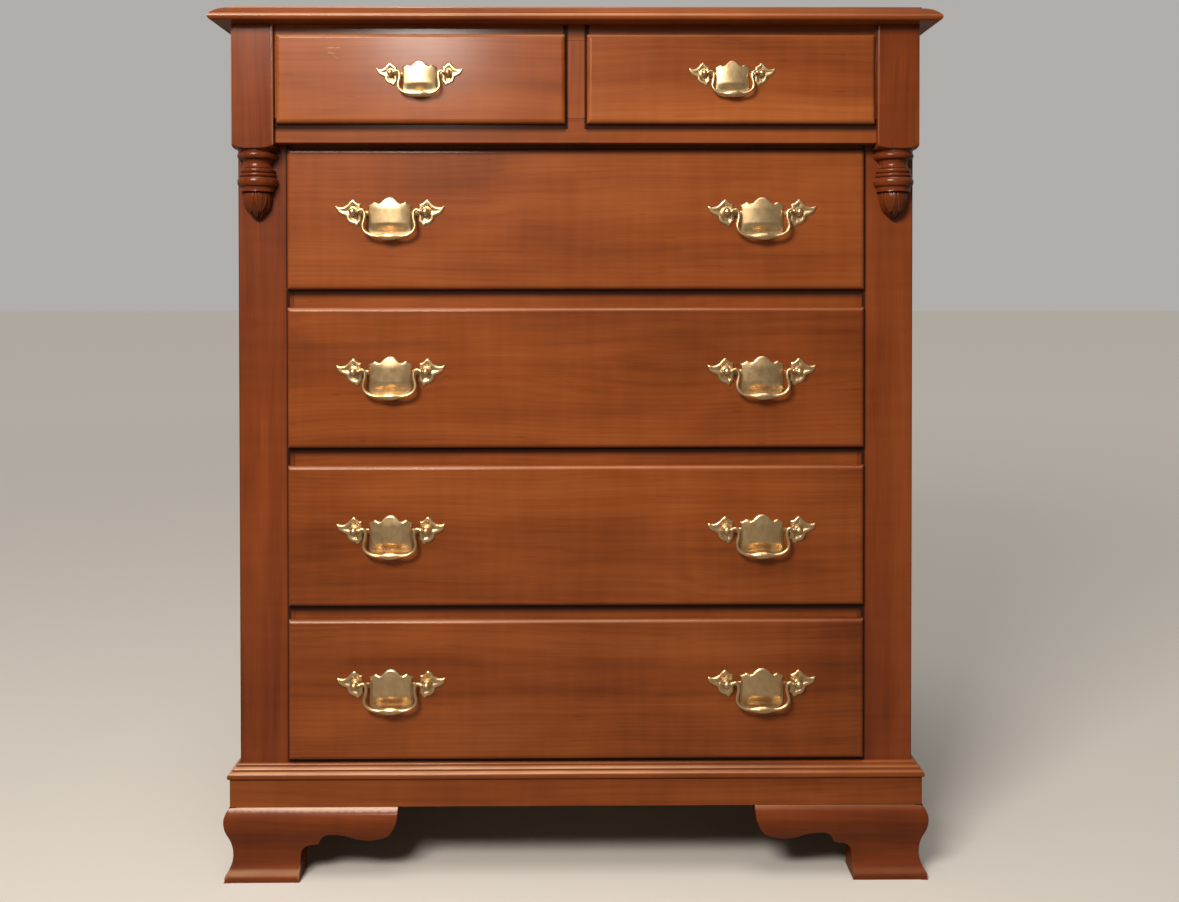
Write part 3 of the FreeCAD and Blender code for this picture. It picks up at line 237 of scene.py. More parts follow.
        # A fine scratch in the finish between two points of the face.
        place = put(nt, "ShaderNodeTexCoord").outputs["Object"]
        parts = put(nt, "ShaderNodeSeparateXYZ", {0: place})
        length = math.hypot(x1 - x0, z1 - z0)
        ux, uz = (x1 - x0) / length, (z1 - z0) / length
        dx = math_node(nt, "SUBTRACT", parts.outputs[0], x0)
        dz = math_node(nt, "SUBTRACT", parts.outputs[2], z0)
        along = math_node(nt, "ADD", math_node(nt, "MULTIPLY", dx, ux), math_node(nt, "MULTIPLY", dz, uz))
        off = math_node(nt, "ABSOLUTE", math_node(nt, "SUBTRACT", math_node(nt, "MULTIPLY", dx, uz), math_node(nt, "MULTIPLY", dz, ux)))
        waver = math_node(nt, "MULTIPLY", math_node(nt, "SUBTRACT", noise(nt, p, (160.0, 40.0, 40.0), 1.0), 0.5), wide * 2.5)
        off = math_node(nt, "ADD", off, waver)
        inside = math_node(nt, "MULTIPLY", math_node(nt, "LESS_THAN", off, wide), math_node(nt, "GREATER_THAN", along, 0.0))
        inside = math_node(nt, "MULTIPLY", inside, math_node(nt, "LESS_THAN", along, length))
        colour = mix_colour(nt, math_node(nt, "MULTIPLY", inside, 0.55), colour, (0.62, 0.36, 0.20))
    bump = put(nt, "ShaderNodeBump", {"Strength": 0.10 if lacquer else 0.35, "Distance": 0.0004, "Height": bump_height})
    shader = put(nt, "ShaderNodeBsdfPrincipled", {"Base Color": colour, "Roughness": rough, "Normal": bump.outputs[0]})
    shader.inputs["Specular IOR Level"].default_value = 0.12 if lacquer else 0.25
    if lacquer:
        shader.inputs["Coat Weight"].default_value = 0.30
        shader.inputs["Coat Roughness"].default_value = 0.16
    surface = shader.outputs[0]
    if raw_behind is not None:
        place = put(nt, "ShaderNodeTexCoord").outputs["Object"]
        parts = put(nt, "ShaderNodeSeparateXYZ", {0: place})
        behind = math_node(nt, "GREATER_THAN", parts.outputs[1], raw_behind)
        bare = put(nt, "ShaderNodeBsdfPrincipled", {"Base Color": ramp(nt, total, RAW), "Roughness": 0.66, "Normal": bump.outputs[0]})
        bare.inputs["Specular IOR Level"].default_value = 0.25
        both = put(nt, "ShaderNodeMixShader", {0: behind, 1: surface, 2: bare.outputs[0]})
        surface = both.outputs[0]
    put(nt, "ShaderNodeOutputMaterial", {"Surface": surface})
    return material


def brass(name):
    """Satin antique brass: brushed, and darker by the recess attribute: patina where polish doesn't reach, and painted
    shade.
    """
    material, nt = tree(name)
    place = put(nt, "ShaderNodeTexCoord").outputs["Object"]
    cloudy = noise(nt, place, (120.0, 120.0, 90.0), 4.0, 0.6)
    brushed = noise(nt, place, (2600.0, 900.0, 60.0), 3.0, 0.6)
    spots = noise(nt, place, (420.0, 420.0, 420.0), 3.0, 0.65)
    tone = math_node(nt, "ADD", math_node(nt, "MULTIPLY", cloudy, 0.55), math_node(nt, "MULTIPLY", brushed, 0.45))
    colour = ramp(nt, tone, [(0.25, (0.58, 0.40, 0.20)), (0.5, (0.74, 0.53, 0.285)), (0.75, (0.87, 0.67, 0.40))])
    recess = put(nt, "ShaderNodeAttribute", attribute_name="recess").outputs["Fac"]
    dull = math_node(nt, "MULTIPLY", math_node(nt, "SUBTRACT", spots, 0.60, clamp=True), 1.6)
    # The recess attribute darkens the brass: patina in hollows and painted shade.
    dark = math_node(nt, "ADD", math_node(nt, "MULTIPLY", recess, 0.80), dull, clamp=True)
    colour = mix_colour(nt, dark, colour, (0.085, 0.052, 0.024))
    rough = math_node(nt, "ADD", 0.25, math_node(nt, "MULTIPLY", cloudy, 0.14))
    rough = math_node(nt, "ADD", rough, math_node(nt, "MULTIPLY", dark, 0.25))
    bump = put(nt, "ShaderNodeBump", {"Strength": 0.12, "Distance": 0.0002, "Height": brushed})
    shader = put(nt, "ShaderNodeBsdfPrincipled", {"Base Color": colour, "Metallic": 1.0, "Roughness": rough,
                                                  "Normal": bump.outputs[0]})
    put(nt, "ShaderNodeOutputMaterial", {"Surface": shader.outputs[0]})
    return material


def steel(name):
    material, nt = tree(name)
    place = put(nt, "ShaderNodeTexCoord").outputs["Object"]
    cloudy = noise(nt, place, (300.0, 300.0, 300.0), 3.0)
    colour = ramp(nt, cloudy, [(0.3, (0.38, 0.38, 0.37)), (0.7, (0.58, 0.58, 0.57))])
    rough = math_node(nt, "ADD", 0.28, math_node(nt, "MULTIPLY", cloudy, 0.2))
    shader = put(nt, "ShaderNodeBsdfPrincipled", {"Base Color": colour, "Metallic": 1.0, "Roughness": rough})
    put(nt, "ShaderNodeOutputMaterial", {"Surface": shader.outputs[0]})
    return material


# --------------------------------------------------------------- mesh helpers
ORDERS = {"x": "xyz", "y": "yxz", "z": "zyx", "top": "xzy"}


class Mesh:
    """Collects boards and other solids, each with its own run of the grain."""

    def __init__(self, seed):
        self.random = random.Random(seed)
        self.v, self.f, self.g, self.r = [], [], [], []

    def add(self, verts, faces, grain="x", recess=None, flip=False):
        """verts in millimetres."""
        base = len(self.v)
        pts = np.array(verts, float)
        order = ["xyz".index(c) for c in ORDERS[grain]]
        centre = (pts.max(0) + pts.min(0)) / 2
        turned = (pts - centre)[:, order] / 1000.0
        shift = (self.random.uniform(-9, 9), self.random.uniform(-0.02, 0.03), self.random.uniform(-0.06, 0.06))
        turned = turned + np.array(shift)
        self.v += [tuple(p / 1000.0) for p in pts]
        self.g += turned.tolist()
        self.r += list(recess) if recess is not None else [0.0] * len(pts)
        for face in faces:
            self.f.append([base + i for i in (reversed(face) if flip else face)])

    def board(self, x0, x1, y0, y1, z0, z1, grain="x", bevel=0.8, segments=2):
        bm = bmesh.new()
        bmesh.ops.create_cube(bm, size=1.0)
        for v in bm.verts:
            v.co = Vector(((x0 + x1) / 2 + v.co.x * (x1 - x0), (y0 + y1) / 2 + v.co.y * (y1 - y0),
                           (z0 + z1) / 2 + v.co.z * (z1 - z0)))
        bmesh.ops.bevel(bm, geom=list(bm.edges), offset=bevel, segments=segments, profile=0.5, affect="EDGES")
        bm.verts.index_update()
        self.add([tuple(v.co) for v in bm.verts], [[v.index for v in f.verts] for f in bm.faces], grain)
        bm.free()

    def prism(self, near, far, grain="x", recess=None):
        """A solid between two outlines with the same number of corners."""
        n = len(near)
        faces = [[i, (i + 1) % n, n + (i + 1) % n, n + i] for i in range(n)]
        faces += [list(range(n))[::-1], list(range(n, 2 * n))]
        self.add(list(near) + list(far), faces, grain, recess)

    def make(self, name, material, body, stands_for=(), angle=32.0, bevel=None, weighted=True):
        mesh = bpy.data.meshes.new(name)
        mesh.from_pydata(self.v, [], self.f)
        bm = bmesh.new()
        bm.from_mesh(mesh)
        bmesh.ops.recalc_face_normals(bm, faces=list(bm.faces))
        bm.to_mesh(mesh)
        bm.free()
        grain = mesh.attributes.new("grain", "FLOAT_VECTOR", "POINT")
        grain.data.foreach_set("vector", np.array(self.g, np.float32).ravel())
        recess = mesh.attributes.new("recess", "FLOAT", "POINT")
        recess.data.foreach_set("value", np.array(self.r, np.float32))
        mesh.polygons.foreach_set("use_smooth", [True] * len(mesh.polygons))
        mesh.set_sharp_from_angle(angle=math.radians(angle))
        mesh.materials.append(material)
        made = bpy.data.objects.new(name, mesh)
        scene.collection.objects.link(made)
        if bevel:
            edge = made.modifiers.new("Edges", "BEVEL")
            edge.width = bevel / 1000.0
            edge.segments = 2
            edge.limit_method = "ANGLE"
            edge.angle_limit = math.radians(48)
            edge.harden_normals = False
        if weighted:
            normals = made.modifiers.new("Normals", "WEIGHTED_NORMAL")
            normals.weight = 50
            normals.keep_sharp = True
        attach(made, body)
        if stands_for:
            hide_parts(*stands_for)
        return made


def arc(a, b, c, n):
    """n points from a towards c on the circle through a, b and c, without c."""
    (ax, ay), (bx, by), (cx, cy) = a, b, c
    d = 2 * (ax * (by - cy) + bx * (cy - ay) + cx * (ay - by))
    ux = ((ax * ax + ay * ay) * (by - cy) + (bx * bx + by * by) * (cy - ay) + (cx * cx + cy * cy) * (ay - by)) / d
    uy = ((ax * ax + ay * ay) * (cx - bx) + (bx * bx + by * by) * (ax - cx) + (cx * cx + cy * cy) * (bx - ax)) / d
    radius = math.hypot(ax - ux, ay - uy)
    start, end = math.atan2(ay - uy, ax - ux), math.atan2(cy - uy, cx - ux)
    if d > 0:
        while end <= start:
            end += 2 * math.pi
    else:
        while end >= start:
            end -= 2 * math.pi
    return [(ux + radius * math.cos(start + (end - start) * i / n), uy + radius * math.sin(start + (end - start) * i / n))
            for i in range(n)]


def curve(corners, n=6, closed=True):
    """Points of an outline whose corners are (x, y) or (x, y, through x, through y)."""
    out = []
    count = len(corners)
    for i, corner in enumerate(corners):
        if i == count - 1 and not closed:
            out.append((corner[0], corner[1]))
            break
        after = corners[(i + 1) % count]
        if len(corner) == 2:
            out.append((corner[0], corner[1]))
        else:
            out += arc((corner[0], corner[1]), (corner[2], corner[3]), (after[0], after[1]), n)
    return out


def spline(points, steps):
    """Catmull-Rom curve through points; a point with a third value is a corner."""
    out = []
    n = len(points)
    for i in range(n - 1):
        p1, p2 = points[i], points[i + 1]
        p0 = points[i - 1] if i > 0 and len(p1) == 2 else (2 * p1[0] - p2[0], 2 * p1[1] - p2[1])
        p3 = points[i + 2] if i + 2 < n and len(p2) == 2 else (2 * p2[0] - p1[0], 2 * p2[1] - p1[1])
        for k in range(steps):
            t = k / steps
            out.append(tuple(0.5 * (2 * p1[a] + (p2[a] - p0[a]) * t + (2 * p0[a] - 5 * p1[a] + 4 * p2[a] - p3[a]) * t * t
                                    + (3 * p1[a] - p0[a] - 3 * p2[a] + p3[a]) * t ** 3) for a in (0, 1)))
    out.append((points[-1][0], points[-1][1]))
    return out


def smooth_step(a, b, x):
    t = min(1.0, max(0.0, (x - a) / (b - a)))
    return t * t * (3 - 2 * t)


# ---------------------------------------------------------------- the finishes
# Painted shadows on the face rails and stiles under each drawer lip.
SHADOWS_UNDER_LIPS = [((level - 8.0) / 1000.0, 0.0135, 0.94) for level in LEVELS.values()]
attr_wood = wood("maple_finished", tones=FINISHED, raw_behind=(FACE + 19.0) / 1000.0, painted_shadows_below=SHADOWS_UNDER_LIPS)
# The stiles also get a painted shadow, with some dirt, beside the lips, and painted shade along their outer arris.
post_wood = wood("maple_stile", tones=RED, raw_behind=(FACE + 19.0) / 1000.0, light=-0.02,
                 side_dirt_and_shadow=[(0.4075, 0.4115, 0.85), (0.4775, 0.4755, 0.45)], painted_shadows_below=SHADOWS_UNDER_LIPS, between=(-1.0, 0.4078))
turned_wood = wood("maple_turned", tones=RED, light=-0.12, polish=0.14)
plain_wood = wood("maple_moulding", tones=FINISHED, light=-0.03)
side_wood = wood("maple_side", order="zxy", origin=(3.0, 0.05, 0.03), tones=RED)
raw_box = wood("poplar_drawer", order="yxz", origin=(1.0, 0.0, 0.0), tones=RAW, lacquer=False, across_from=0.2121)
raw_frame = wood("poplar_frame", order="yxz", origin=(4.0, 0.0, 0.0), tones=RAW, lacquer=False, across_from=0.2080, light=-0.06)
raw_x = wood("poplar_cleat", order="xyz", origin=(6.0, 0.0, 0.0), tones=RAW, lacquer=False, light=-0.04)
raw_z = wood("poplar_block", order="zxy", origin=(6.0, 0.0, 0.0), tones=RAW, lacquer=False, light=-0.05)
ply_x = wood("plywood_flat", order="xzy", origin=(2.0, 0.0, 0.0), tones=PLY, lacquer=False)
ply_z = wood("plywood_back", order="zyx", origin=(2.0, 0.0, 0.0), tones=PLY, lacquer=False)
antique_brass = brass("antique_brass")
zinc = steel("zinc_screw")


def finish(node, material):
    o = nodes[node]
    if not o.material_slots:
        o.data.materials.append(material)
    for s in o.material_slots:
        s.material = material


finish("side_panels", side_wood)
finish("back_panel", ply_z)
finish("dust_panels", ply_x)
finish("dust_frames", raw_frame)
finish("drawer_guides", raw_frame)
finish("top_cleats", raw_x)
finish("glue_blocks", raw_z)
finish("top_screws", zinc)
SCRATCHES = [(-0.349, 1.1688, -0.327, 1.1690, 0.00042), (-0.343, 1.1629, -0.333, 1.1608, 0.00036),
             (-0.336, 1.1578, -0.329, 1.1538, 0.00032)]
for label, level, tall, seed in [("upper_left_drawer", 1073.0, 108.0, 11), ("upper_right_drawer", 1073.0, 108.0, 12)] + [
        ("long_drawer_%d" % i, LEVELS[i], 182.5, 20 + i) for i in LEVELS]:
    pick = random.Random(seed)
    small = label.startswith("upper")
    face = SMALL_FACE if small else LONG_FACE
    origin = (pick.uniform(-9, 9), -face / 1000.0 + pick.uniform(-0.01, 0.02),
              -(level + tall / 2) / 1000.0 + pick.uniform(-0.04, 0.04))
    edge = (FACE - (25.0 if small else 0.0) + 0.2) / 1000.0
    # The fronts are painted mostly lighter towards the top and the left one lighter than the right: partly each board's
    # own tone and partly painted light from the lamp at the upper left.
    tone = {"upper_left_drawer": 0.11, "upper_right_drawer": 0.08, "long_drawer_1": 0.045, "long_drawer_2": 0.02,
            "long_drawer_3": 0.02, "long_drawer_4": 0.03}[label]
    # The long fronts are painted darker towards both ends, painted shade where the light falls off.
    ends = {"long_drawer_1": 0.03, "long_drawer_2": 0.10, "long_drawer_3": 0.10, "long_drawer_4": 0.15}.get(label, 0.0)
    # Each front but the top long one gets a painted highlight, with some wear, along its top lip; the top long one
    # instead gets a painted shadow along its top, below the frieze.
    finish(label + "_front", wood("maple_" + label, order="xyz", origin=origin, raw_behind=edge, light=tone, ends=ends,
                                  marks=SCRATCHES if label == "upper_left_drawer" else (),
                                  rub_and_highlight_at=None if label == "long_drawer_1" else (level + tall + 8.0 - 2.4) / 1000.0,
                                  painted_shadows_below=[((level + tall + 8.0) / 1000.0, 0.0105, 0.84)] if label == "long_drawer_1" else ()))
    finish(label + "_box", raw_box)
    finish(label + "_bottom", ply_x)
    finish(label + "_pull_posts", antique_brass)

# ------------------------------------------------------------------- top board
W, DEEP = 502.5, 256.5
chord = math.hypot(21.0, 12.0)
section = curve([
    (5.0, TOP_LOW, 5 * (1 - math.sqrt(0.5)), TOP_LOW + 5 * (1 - math.sqrt(0.5))),
    (0.0, TOP_LOW + 5, 0.528, TOP_LOW + 7.236),
    (2.0, TOP_LOW + 9, 12.5 - 2.1 * 12 / chord, TOP_LOW + 15 + 2.1 * 21 / chord),
    (23.0, TOP - 2.0), (23.0, TOP - 0.9, 23.26, TOP - 0.26), (23.9, TOP),
], n=9, closed=False)
top = Mesh("top")
rings = []
for d, z in section:
    rings += [(-W + d, -DEEP + d, z), (W - d, -DEEP + d, z), (W - d, DEEP, z), (-W + d, DEEP, z)]
count = len(section)
faces = [[0, 1, 2, 3], [4 * count - 1, 4 * count - 2, 4 * count - 3, 4 * count - 4]]
for i in range(count - 1):
    for k in range(4):
        a, b = 4 * i + k, 4 * i + (k + 1) % 4
        faces.append([a, b, b + 4, a + 4])
# The nose's upper part and the top arris are painted lighter, painted highlights with some wear, and the crease above
# the nose is painted dark, painted shade.
wear_and_painted_light = [-0.46 if TOP_LOW + 5.4 < z < TOP_LOW + 8.9 and d < 2 else (-0.30 if z > TOP - 2.1 else
        (0.30 if abs(z - TOP_LOW - 9) < 0.2 else 0.0)) for d, z in section]
top.add(rings, faces, "top", [w for w in wear_and_painted_light for _ in range(4)])
top_wood = wood("maple_top", tones=FINISHED, light=0.02)
top.make("top_board_moulded", top_wood, "carcass", ["top_board"], angle=40)

# ---------------------------------------------------------------- face frame
rails = Mesh("rails")
for z0, z1 in ((104.0, 177.0), (359.5, 395.0), (577.5, 618.75), (801.25, 842.75), (1025.25, 1073.0), (1181.0, 1203.0)):
    rails.board(-OPEN, OPEN, FACE, FACE + 20, z0, z1, "x", 0.5)
rails.make("face_rail_boards", attr_wood, "carcass", ["face_rails"])
stiles = Mesh("stiles")
for side in (-1, 1):
    stiles.board(min(side * HALF, side * OPEN), max(side * HALF, side * OPEN), FACE, FACE + 20, 104.0, TOP_LOW, "z", 0.9)
stiles.make("stile_boards", post_wood, "carcass", ["stiles"])
# Painted shadow, with some dirt, on the divider beside the small drawers' lips, and painted shadow on the frieze rail
# under them.
frieze_wood = wood("maple_frieze", tones=FINISHED, raw_behind=(FACE + 19.0) / 1000.0, light=0.02,
                   side_dirt_and_shadow=[(0.015, 0.0100, 0.95)], side_dirt_and_shadow_from=1.058, painted_shadows_below=[(1.065, 0.0125, 0.94)], between=(0.0145, 9.0))
frieze = Mesh("frieze")
frieze.board(-419.5, 419.5, FACE - 25, FACE, 1181.0, TOP_LOW, "x", 0.6)
frieze.board(-419.5, 419.5, FACE - 25, FACE, 1039.0, 1073.0, "x", 1.0)
frieze.make("frieze_rail_boards", frieze_wood, "carcass", ["frieze_rails"])
uprights = Mesh("uprights")
for side in (-1, 1):
    uprights.board(min(side * 419.5, side * OPEN), max(side * 419.5, side * OPEN), FACE - 25, FACE, 1073.0, 1181.0, "z", 0.6)
uprights.board(-23.0, 23.0, FACE - 25, FACE + 20, 1073.0, 1181.0, "z", 0.6)
uprights.make("frieze_upright_boards", frieze_wood, "carcass", ["frieze_uprights"])


# -------------------------------------------------------------- split turnings
def leaf_carving(t, angle):
    """Height of the carving on the bud, in millimetres, and how dark it is painted: darker between and beside the
    leaves, partly stain in the hollows and partly painted shade.
    t runs from the collar to the tip, angle is from the front."""
    step = math.pi / 3
    out_h, out_r = -1.5, 0.95
    # Lower leaves show between the upper ones and reach nearly to the tip.
    a = (angle + step / 2) % step - step / 2
    u = (t - 0.06) / 0.86
    if 0 < u < 1:
        wide = 0.47 * math.sin(math.pi * min(1.0, u * 1.0) ** 0.75) ** 0.8
        e = abs(a) / max(wide, 1e-6)
        if e < 1.05:
            inside = 1 - smooth_step(0.86, 1.04, e)
            rib = math.exp(-((a / 0.055) ** 2)) * 0.55 * (1 - u * 0.6)
            dish = 0.55 * e * e
            h = -0.25 + dish + rib
            out_h = out_h + (h - out_h) * inside
            out_r = out_r + ((0.34 - 0.28 * e * e + 0.22 * u) - out_r) * inside
    # Upper leaves hang from the collar and lie over the lower ones.
    a = angle % step - step / 2
    u = t / 0.66
    if u < 1:
        wide = 0.50 * (1 - u ** 2.3) ** 0.72
        e = abs(a) / max(wide, 1e-6)
        if e < 1.05:
            inside = 1 - smooth_step(0.88, 1.04, e)
            rib = math.exp(-((a / 0.06) ** 2)) * 0.5 * (1 - u * 0.5)
            side = math.exp(-((abs(a) - wide * 0.52) / 0.05) ** 2) * 0.30
            h = 0.55 + 0.55 * e * e + rib - side + 0.35 * u
            out_h = out_h + (h - out_h) * inside
            out_r = out_r + ((0.24 - 0.22 * e * e + 0.30 * side) - out_r) * inside
    return out_h, out_r


def split_turning(side, name, node):
    low = 1031.0
    ax, ay = side * (HALF - 29.0), FACE - 4.0
    piece = Mesh(name)
    # The square block: a ring of points at each height, inside the rounded shoulder.
    shoulder = arc((29.5, 0.0), (39.3, 3.7), (44.0, 11.0), 9) + [(44.0, 11.0)]
    levels = [(r, low + h) for r, h in shoulder] + [(60.0, low + 11.6), (60.0, TOP_LOW)]
    angles = []
    back_left = math.atan2(4.0, -29.0)
    start, end = back_left, math.atan2(4.0, 29.0) + 2 * math.pi
    steps = 132
    for i in range(steps + 1):
        angles.append(start + (end - start) * i / steps)

    def square(angle, limit):
        c, s = math.cos(angle), math.sin(angle)
        corner = 27.6
        best = 1e9
        if abs(c) > 1e-9:
            best = min(best, 29.0 / abs(c))
        if s < -1e-9:
            best = min(best, 29.0 / -s)
        if s > 1e-9:
            best = min(best, 4.0 / s)
        x, y = best * c, best * s
        # A small round on the two front arrises.
        if abs(x) > corner and y < -corner:
            cx, cy, r = math.copysign(corner, x), -corner, 1.4
            b = c * cx + s * cy
            disc = b * b - (cx * cx + cy * cy - r * r)
            if disc > 0:
                best = min(best, b + math.sqrt(disc))
        return min(best, limit)

    verts, dark = [], []
    for r, z in levels:
        for angle in angles:
            d = square(angle, r)
            verts.append((ax + d * math.cos(angle), ay + d * math.sin(angle), z))
            px, py = d * math.cos(angle), d * math.sin(angle)
            # The block's lowest rows are painted darker, painted shade under it, and its two front arrises lighter,
            # partly wear and partly a painted highlight.
            dark.append(0.25 if z < low + 2 else (-0.38 if abs(px) > 27.5 and py < -27.5 else 0.0))
    n = len(angles)
    faces = []
    for i in range(len(levels) - 1):
        for k in range(n):
            a, b = i * n + k, i * n + (k + 1) % n
            faces.append([a, b, b + n, a + n])
    faces.append(list(range(n))[::-1])
    faces.append(list(range((len(levels) - 1) * n, len(levels) * n)))
    piece.add(verts, faces, "z", dark)
    # The turned drop.
    profile = curve([
        (26.0, low + 1), (26.0, low - 4, 29.0, low - 8.7), (26.0, low - 13.4), (22.5, low - 14.2, 20.5, low - 20),
        (22.5, low - 26), (23.5, low - 26.6, 25.2, low - 29.8), (23.5, low - 33),
        (24.6, low - 33.2, 26.3, low - 35.8), (24.6, low - 38.6), (26.4, low - 39.2, 29.0, low - 45),
        (26.8, low - 51.4), (25.0, low - 52, 24.2, low - 55.5), (24.4, low - 59), (19.0, low - 59.5),
    ], n=10, closed=False)
    bud = arc((18.4, low - 59.6), (16.9, low - 79), (0.8, 932.0), 74) + [(0.8, 932.0)]
    around = 216
    bm = bmesh.new()
    depth_layer = bm.verts.layers.float.new("depth")
    rows, depths = [], []
    # The drop is painted darker in and near its grooves, and the bud darker between its leaves and towards its tip:
    # partly stain in the hollows and partly painted shade.
    grooves = [low - 3, low - 13.8, low - 26.3, low - 33.1, low - 38.9, low - 51.7, low - 59.4]
    for r, z in profile:
        row = []
        near = min(abs(z - g) for g in grooves)
        r = r * 0.965
        for k in range(around):
            angle = 2 * math.pi * k / around
            row.append(bm.verts.new((ax + r * math.sin(angle), ay - r * math.cos(angle), z)))
            depths.append(max(0.0, 0.75 * (1 - near / 1.6)) + 0.12)
        rows.append(row)
    for i, (r, z) in enumerate(bud):
        t = i / (len(bud) - 1)
        fade = smooth_step(0.0, 0.05, t) * (1 - smooth_step(0.90, 1.0, t))
        row = []
        for k in range(around):
            angle = 2 * math.pi * k / around
            h, shade = leaf_carving(t, angle)
            rr = max(0.4, r + h * fade)
            row.append(bm.verts.new((ax + rr * math.sin(angle), ay - rr * math.cos(angle), z)))
            depths.append(min(1.0, shade + 0.35 * t))
        rows.append(row)
    bm.verts.ensure_lookup_table()
    for v, d in zip(bm.verts, depths):
        v[depth_layer] = d
    for i in range(len(rows) - 1):
        for k in range(around):
            bm.faces.new((rows[i][k], rows[i][(k + 1) % around], rows[i + 1][(k + 1) % around], rows[i + 1][k]))
    bm.faces.new(rows[0][::-1])
    bm.faces.new(rows[-1])
    cut = bmesh.ops.bisect_plane(bm, geom=list(bm.verts) + list(bm.edges) + list(bm.faces), plane_co=(0, FACE, 0),
                                 plane_no=(0, 1, 0), clear_outer=True)
    bmesh.ops.holes_fill(bm, edges=[e for e in bm.edges if e.is_boundary], sides=0)
    bm.verts.index_update()
    piece.add([tuple(v.co) for v in bm.verts], [[v.index for v in f.verts] for f in bm.faces], "z",
              [v[depth_layer] for v in bm.verts])
    bm.free()
    return piece.make(name, turned_wood, "carcass", [node], angle=50, weighted=False)


split_turning(-1, "split_turning_carved_left", "split_turning_left")
split_turning(1, "split_turning_carved_right", "split_turning_right")


# --------------------------------------------------------- mouldings at the base
def wrapped(name, section, node, material, gap=0.12, wear_and_painted_light=None):
    """A moulding round the front and both sides, mitred at the front corners."""
    made = Mesh(name)
    wear_and_light_values = [wear_and_painted_light(z) if wear_and_painted_light else 0.0 for d, z in section] * 2
    made.prism([(-(HALF + d) + gap, FACE - d, z) for d, z in section],
               [(HALF + d - gap, FACE - d, z) for d, z in section], "x", wear_and_light_values)
    for side in (-1, 1):
        made.prism([(side * (HALF + d), FACE - d + gap, z) for d, z in section],
                   [(side * (HALF + d), BACK, z) for d, z in section], "y", wear_and_light_values)
    return made.make(name, material, "carcass", [node], angle=34)


low = 142.5
# The two step shoulders and the top arris are painted lighter, painted highlights with some wear, and two thin lines on
# the lower steps are painted dark.
wrapped("base_moulding_run", curve([
    (0, low), (11.9, low), (12.5, low + 0.6), (12.5, low + 1, 14.3, low + 1.8), (15, low + 3.6),
    (15, low + 5.3, 13.8, low + 8.7), (10.5, low + 10.1), (9.5, low + 10.1),
    (9.5, low + 11.7, 8.6, low + 14.3), (6, low + 15.3), (5, low + 15.3),
    (5, low + 17, 4.1, low + 19.9), (2, low + 20.8), (0, low + 20.8),
], n=8), "base_moulding", plain_wood,
    wear_and_painted_light=lambda z: -0.80 if min(abs(z - low - 9.3), abs(z - low - 14.9)) < 1.2 else
    (-0.16 if abs(z - low - 19.6) < 1.1 else (0.40 if min(abs(z - low - 4.6), abs(z - low - 12.2)) < 0.5 else 0.0)))
wrapped("plinth_boards", [(0, 104.0), (11.4, 104.0), (12.0, 104.6), (12.0, 141.9), (11.4, 142.5), (0, 142.5)], "plinth", plain_wood)


# ------------------------------------------------------------------------ feet
OGEE = curve([(18.5, 0.0), (18.5, 8.0, 11.2, 20.7), (8.7, 35.0, 10.27, 49.7), (14.8, 63.5, 18.5, 75.0),
              (19.6, 86.0, 17.6, 95.4), (12.0, 104.0)], n=14, closed=False)


def ogee_reach(z):
    zs = [p[1] for p in OGEE]
    return float(np.interp(z, zs, [p[0] for p in OGEE]))


def bracket_outline(length, toe, mitred):
    k = (length - toe) / (237.0 - 98.8)

    def at(x):
        return toe + k * (x - 98.8)

    scroll = curve([
        (at(98.8), 33.0, at(103.2), 44.2), (at(116.0), 49.0), (at(124.6), 50.5, at(130.5), 61.5),
        (at(145.0), 66.2, at(159.0), 64.6), (at(172.0), 60.2, at(198.0), 56.0), (at(222.0), 61.8, at(233.2), 79.0),
        (at(236.85), 104.0),
    ], n=9, closed=False)
    pts = [(s, "edge") for s in []]
    left = [(12.0 - ogee_reach(z) + 0.1 if mitred else 0.0, z) for z in
            [104.0 - 104.0 * i / 34 for i in range(34)]] + [(12.0 - 18.5 + 0.1 if mitred else 0.0, 0.0)]
    bottom = [(left[-1][0] + (toe - left[-1][0]) * i / 14, 0.0) for i in range(1, 14)]
    toe_edge = [(toe, 0.0), (toe, 8.0), (toe, 16.0), (toe, 24.5)]
    upper = [(at(236.85) * (1 - i / 26), 104.0) for i in range(1, 26)]
    return left + bottom + toe_edge + scroll + upper, len(left)


def inside_of(x, y, poly):
    hit = False
    j = len(poly) - 1
    for i in range(len(poly)):
        xi, yi = poly[i]
        xj, yj = poly[j]
        if (yi > y) != (yj > y) and x < (xj - xi) * (y - yi) / (yj - yi) + xi:
            hit = not hit
        j = i
    return hit


def distances(points, poly):
    """Distance from each point to a closed outline."""
    p = np.array(points, float)[:, None, :]
    a = np.array(poly, float)
    b = np.roll(a, -1, axis=0)
    ab = b - a
    t = np.clip(((p - a) * ab).sum(-1) / (ab * ab).sum(-1), 0, 1)
    nearest = a + ab * t[..., None]
    return np.sqrt(((p - nearest) ** 2).sum(-1)).min(1)


def filled(poly, pitch_x, pitch_y, keep, staggered=True):
    """Triangles of an outline with points inside it: (points, triangles)."""
    xs = [p[0] for p in poly]
    ys = [p[1] for p in poly]
    grid = []
    row = 0
    y = min(ys) + pitch_y * 0.5
    while y < max(ys):
        x = min(xs) + (pitch_x * 0.5 if staggered and row % 2 else 0.0)
        while x < max(xs):
            if inside_of(x, y, poly):
                grid.append((x, y))
            x += pitch_x
        y += pitch_y
        row += 1
    if grid:
        far = distances(grid, poly)
        grid = [g for g, d in zip(grid, far) if d > keep]
    n = len(poly)
    verts, _, faces, _, _, _ = delaunay_2d_cdt([Vector(p) for p in list(poly) + grid], [], [list(range(n))], 1, 1e-5)
    return [(v.x, v.y) for v in verts], [list(f) for f in faces]


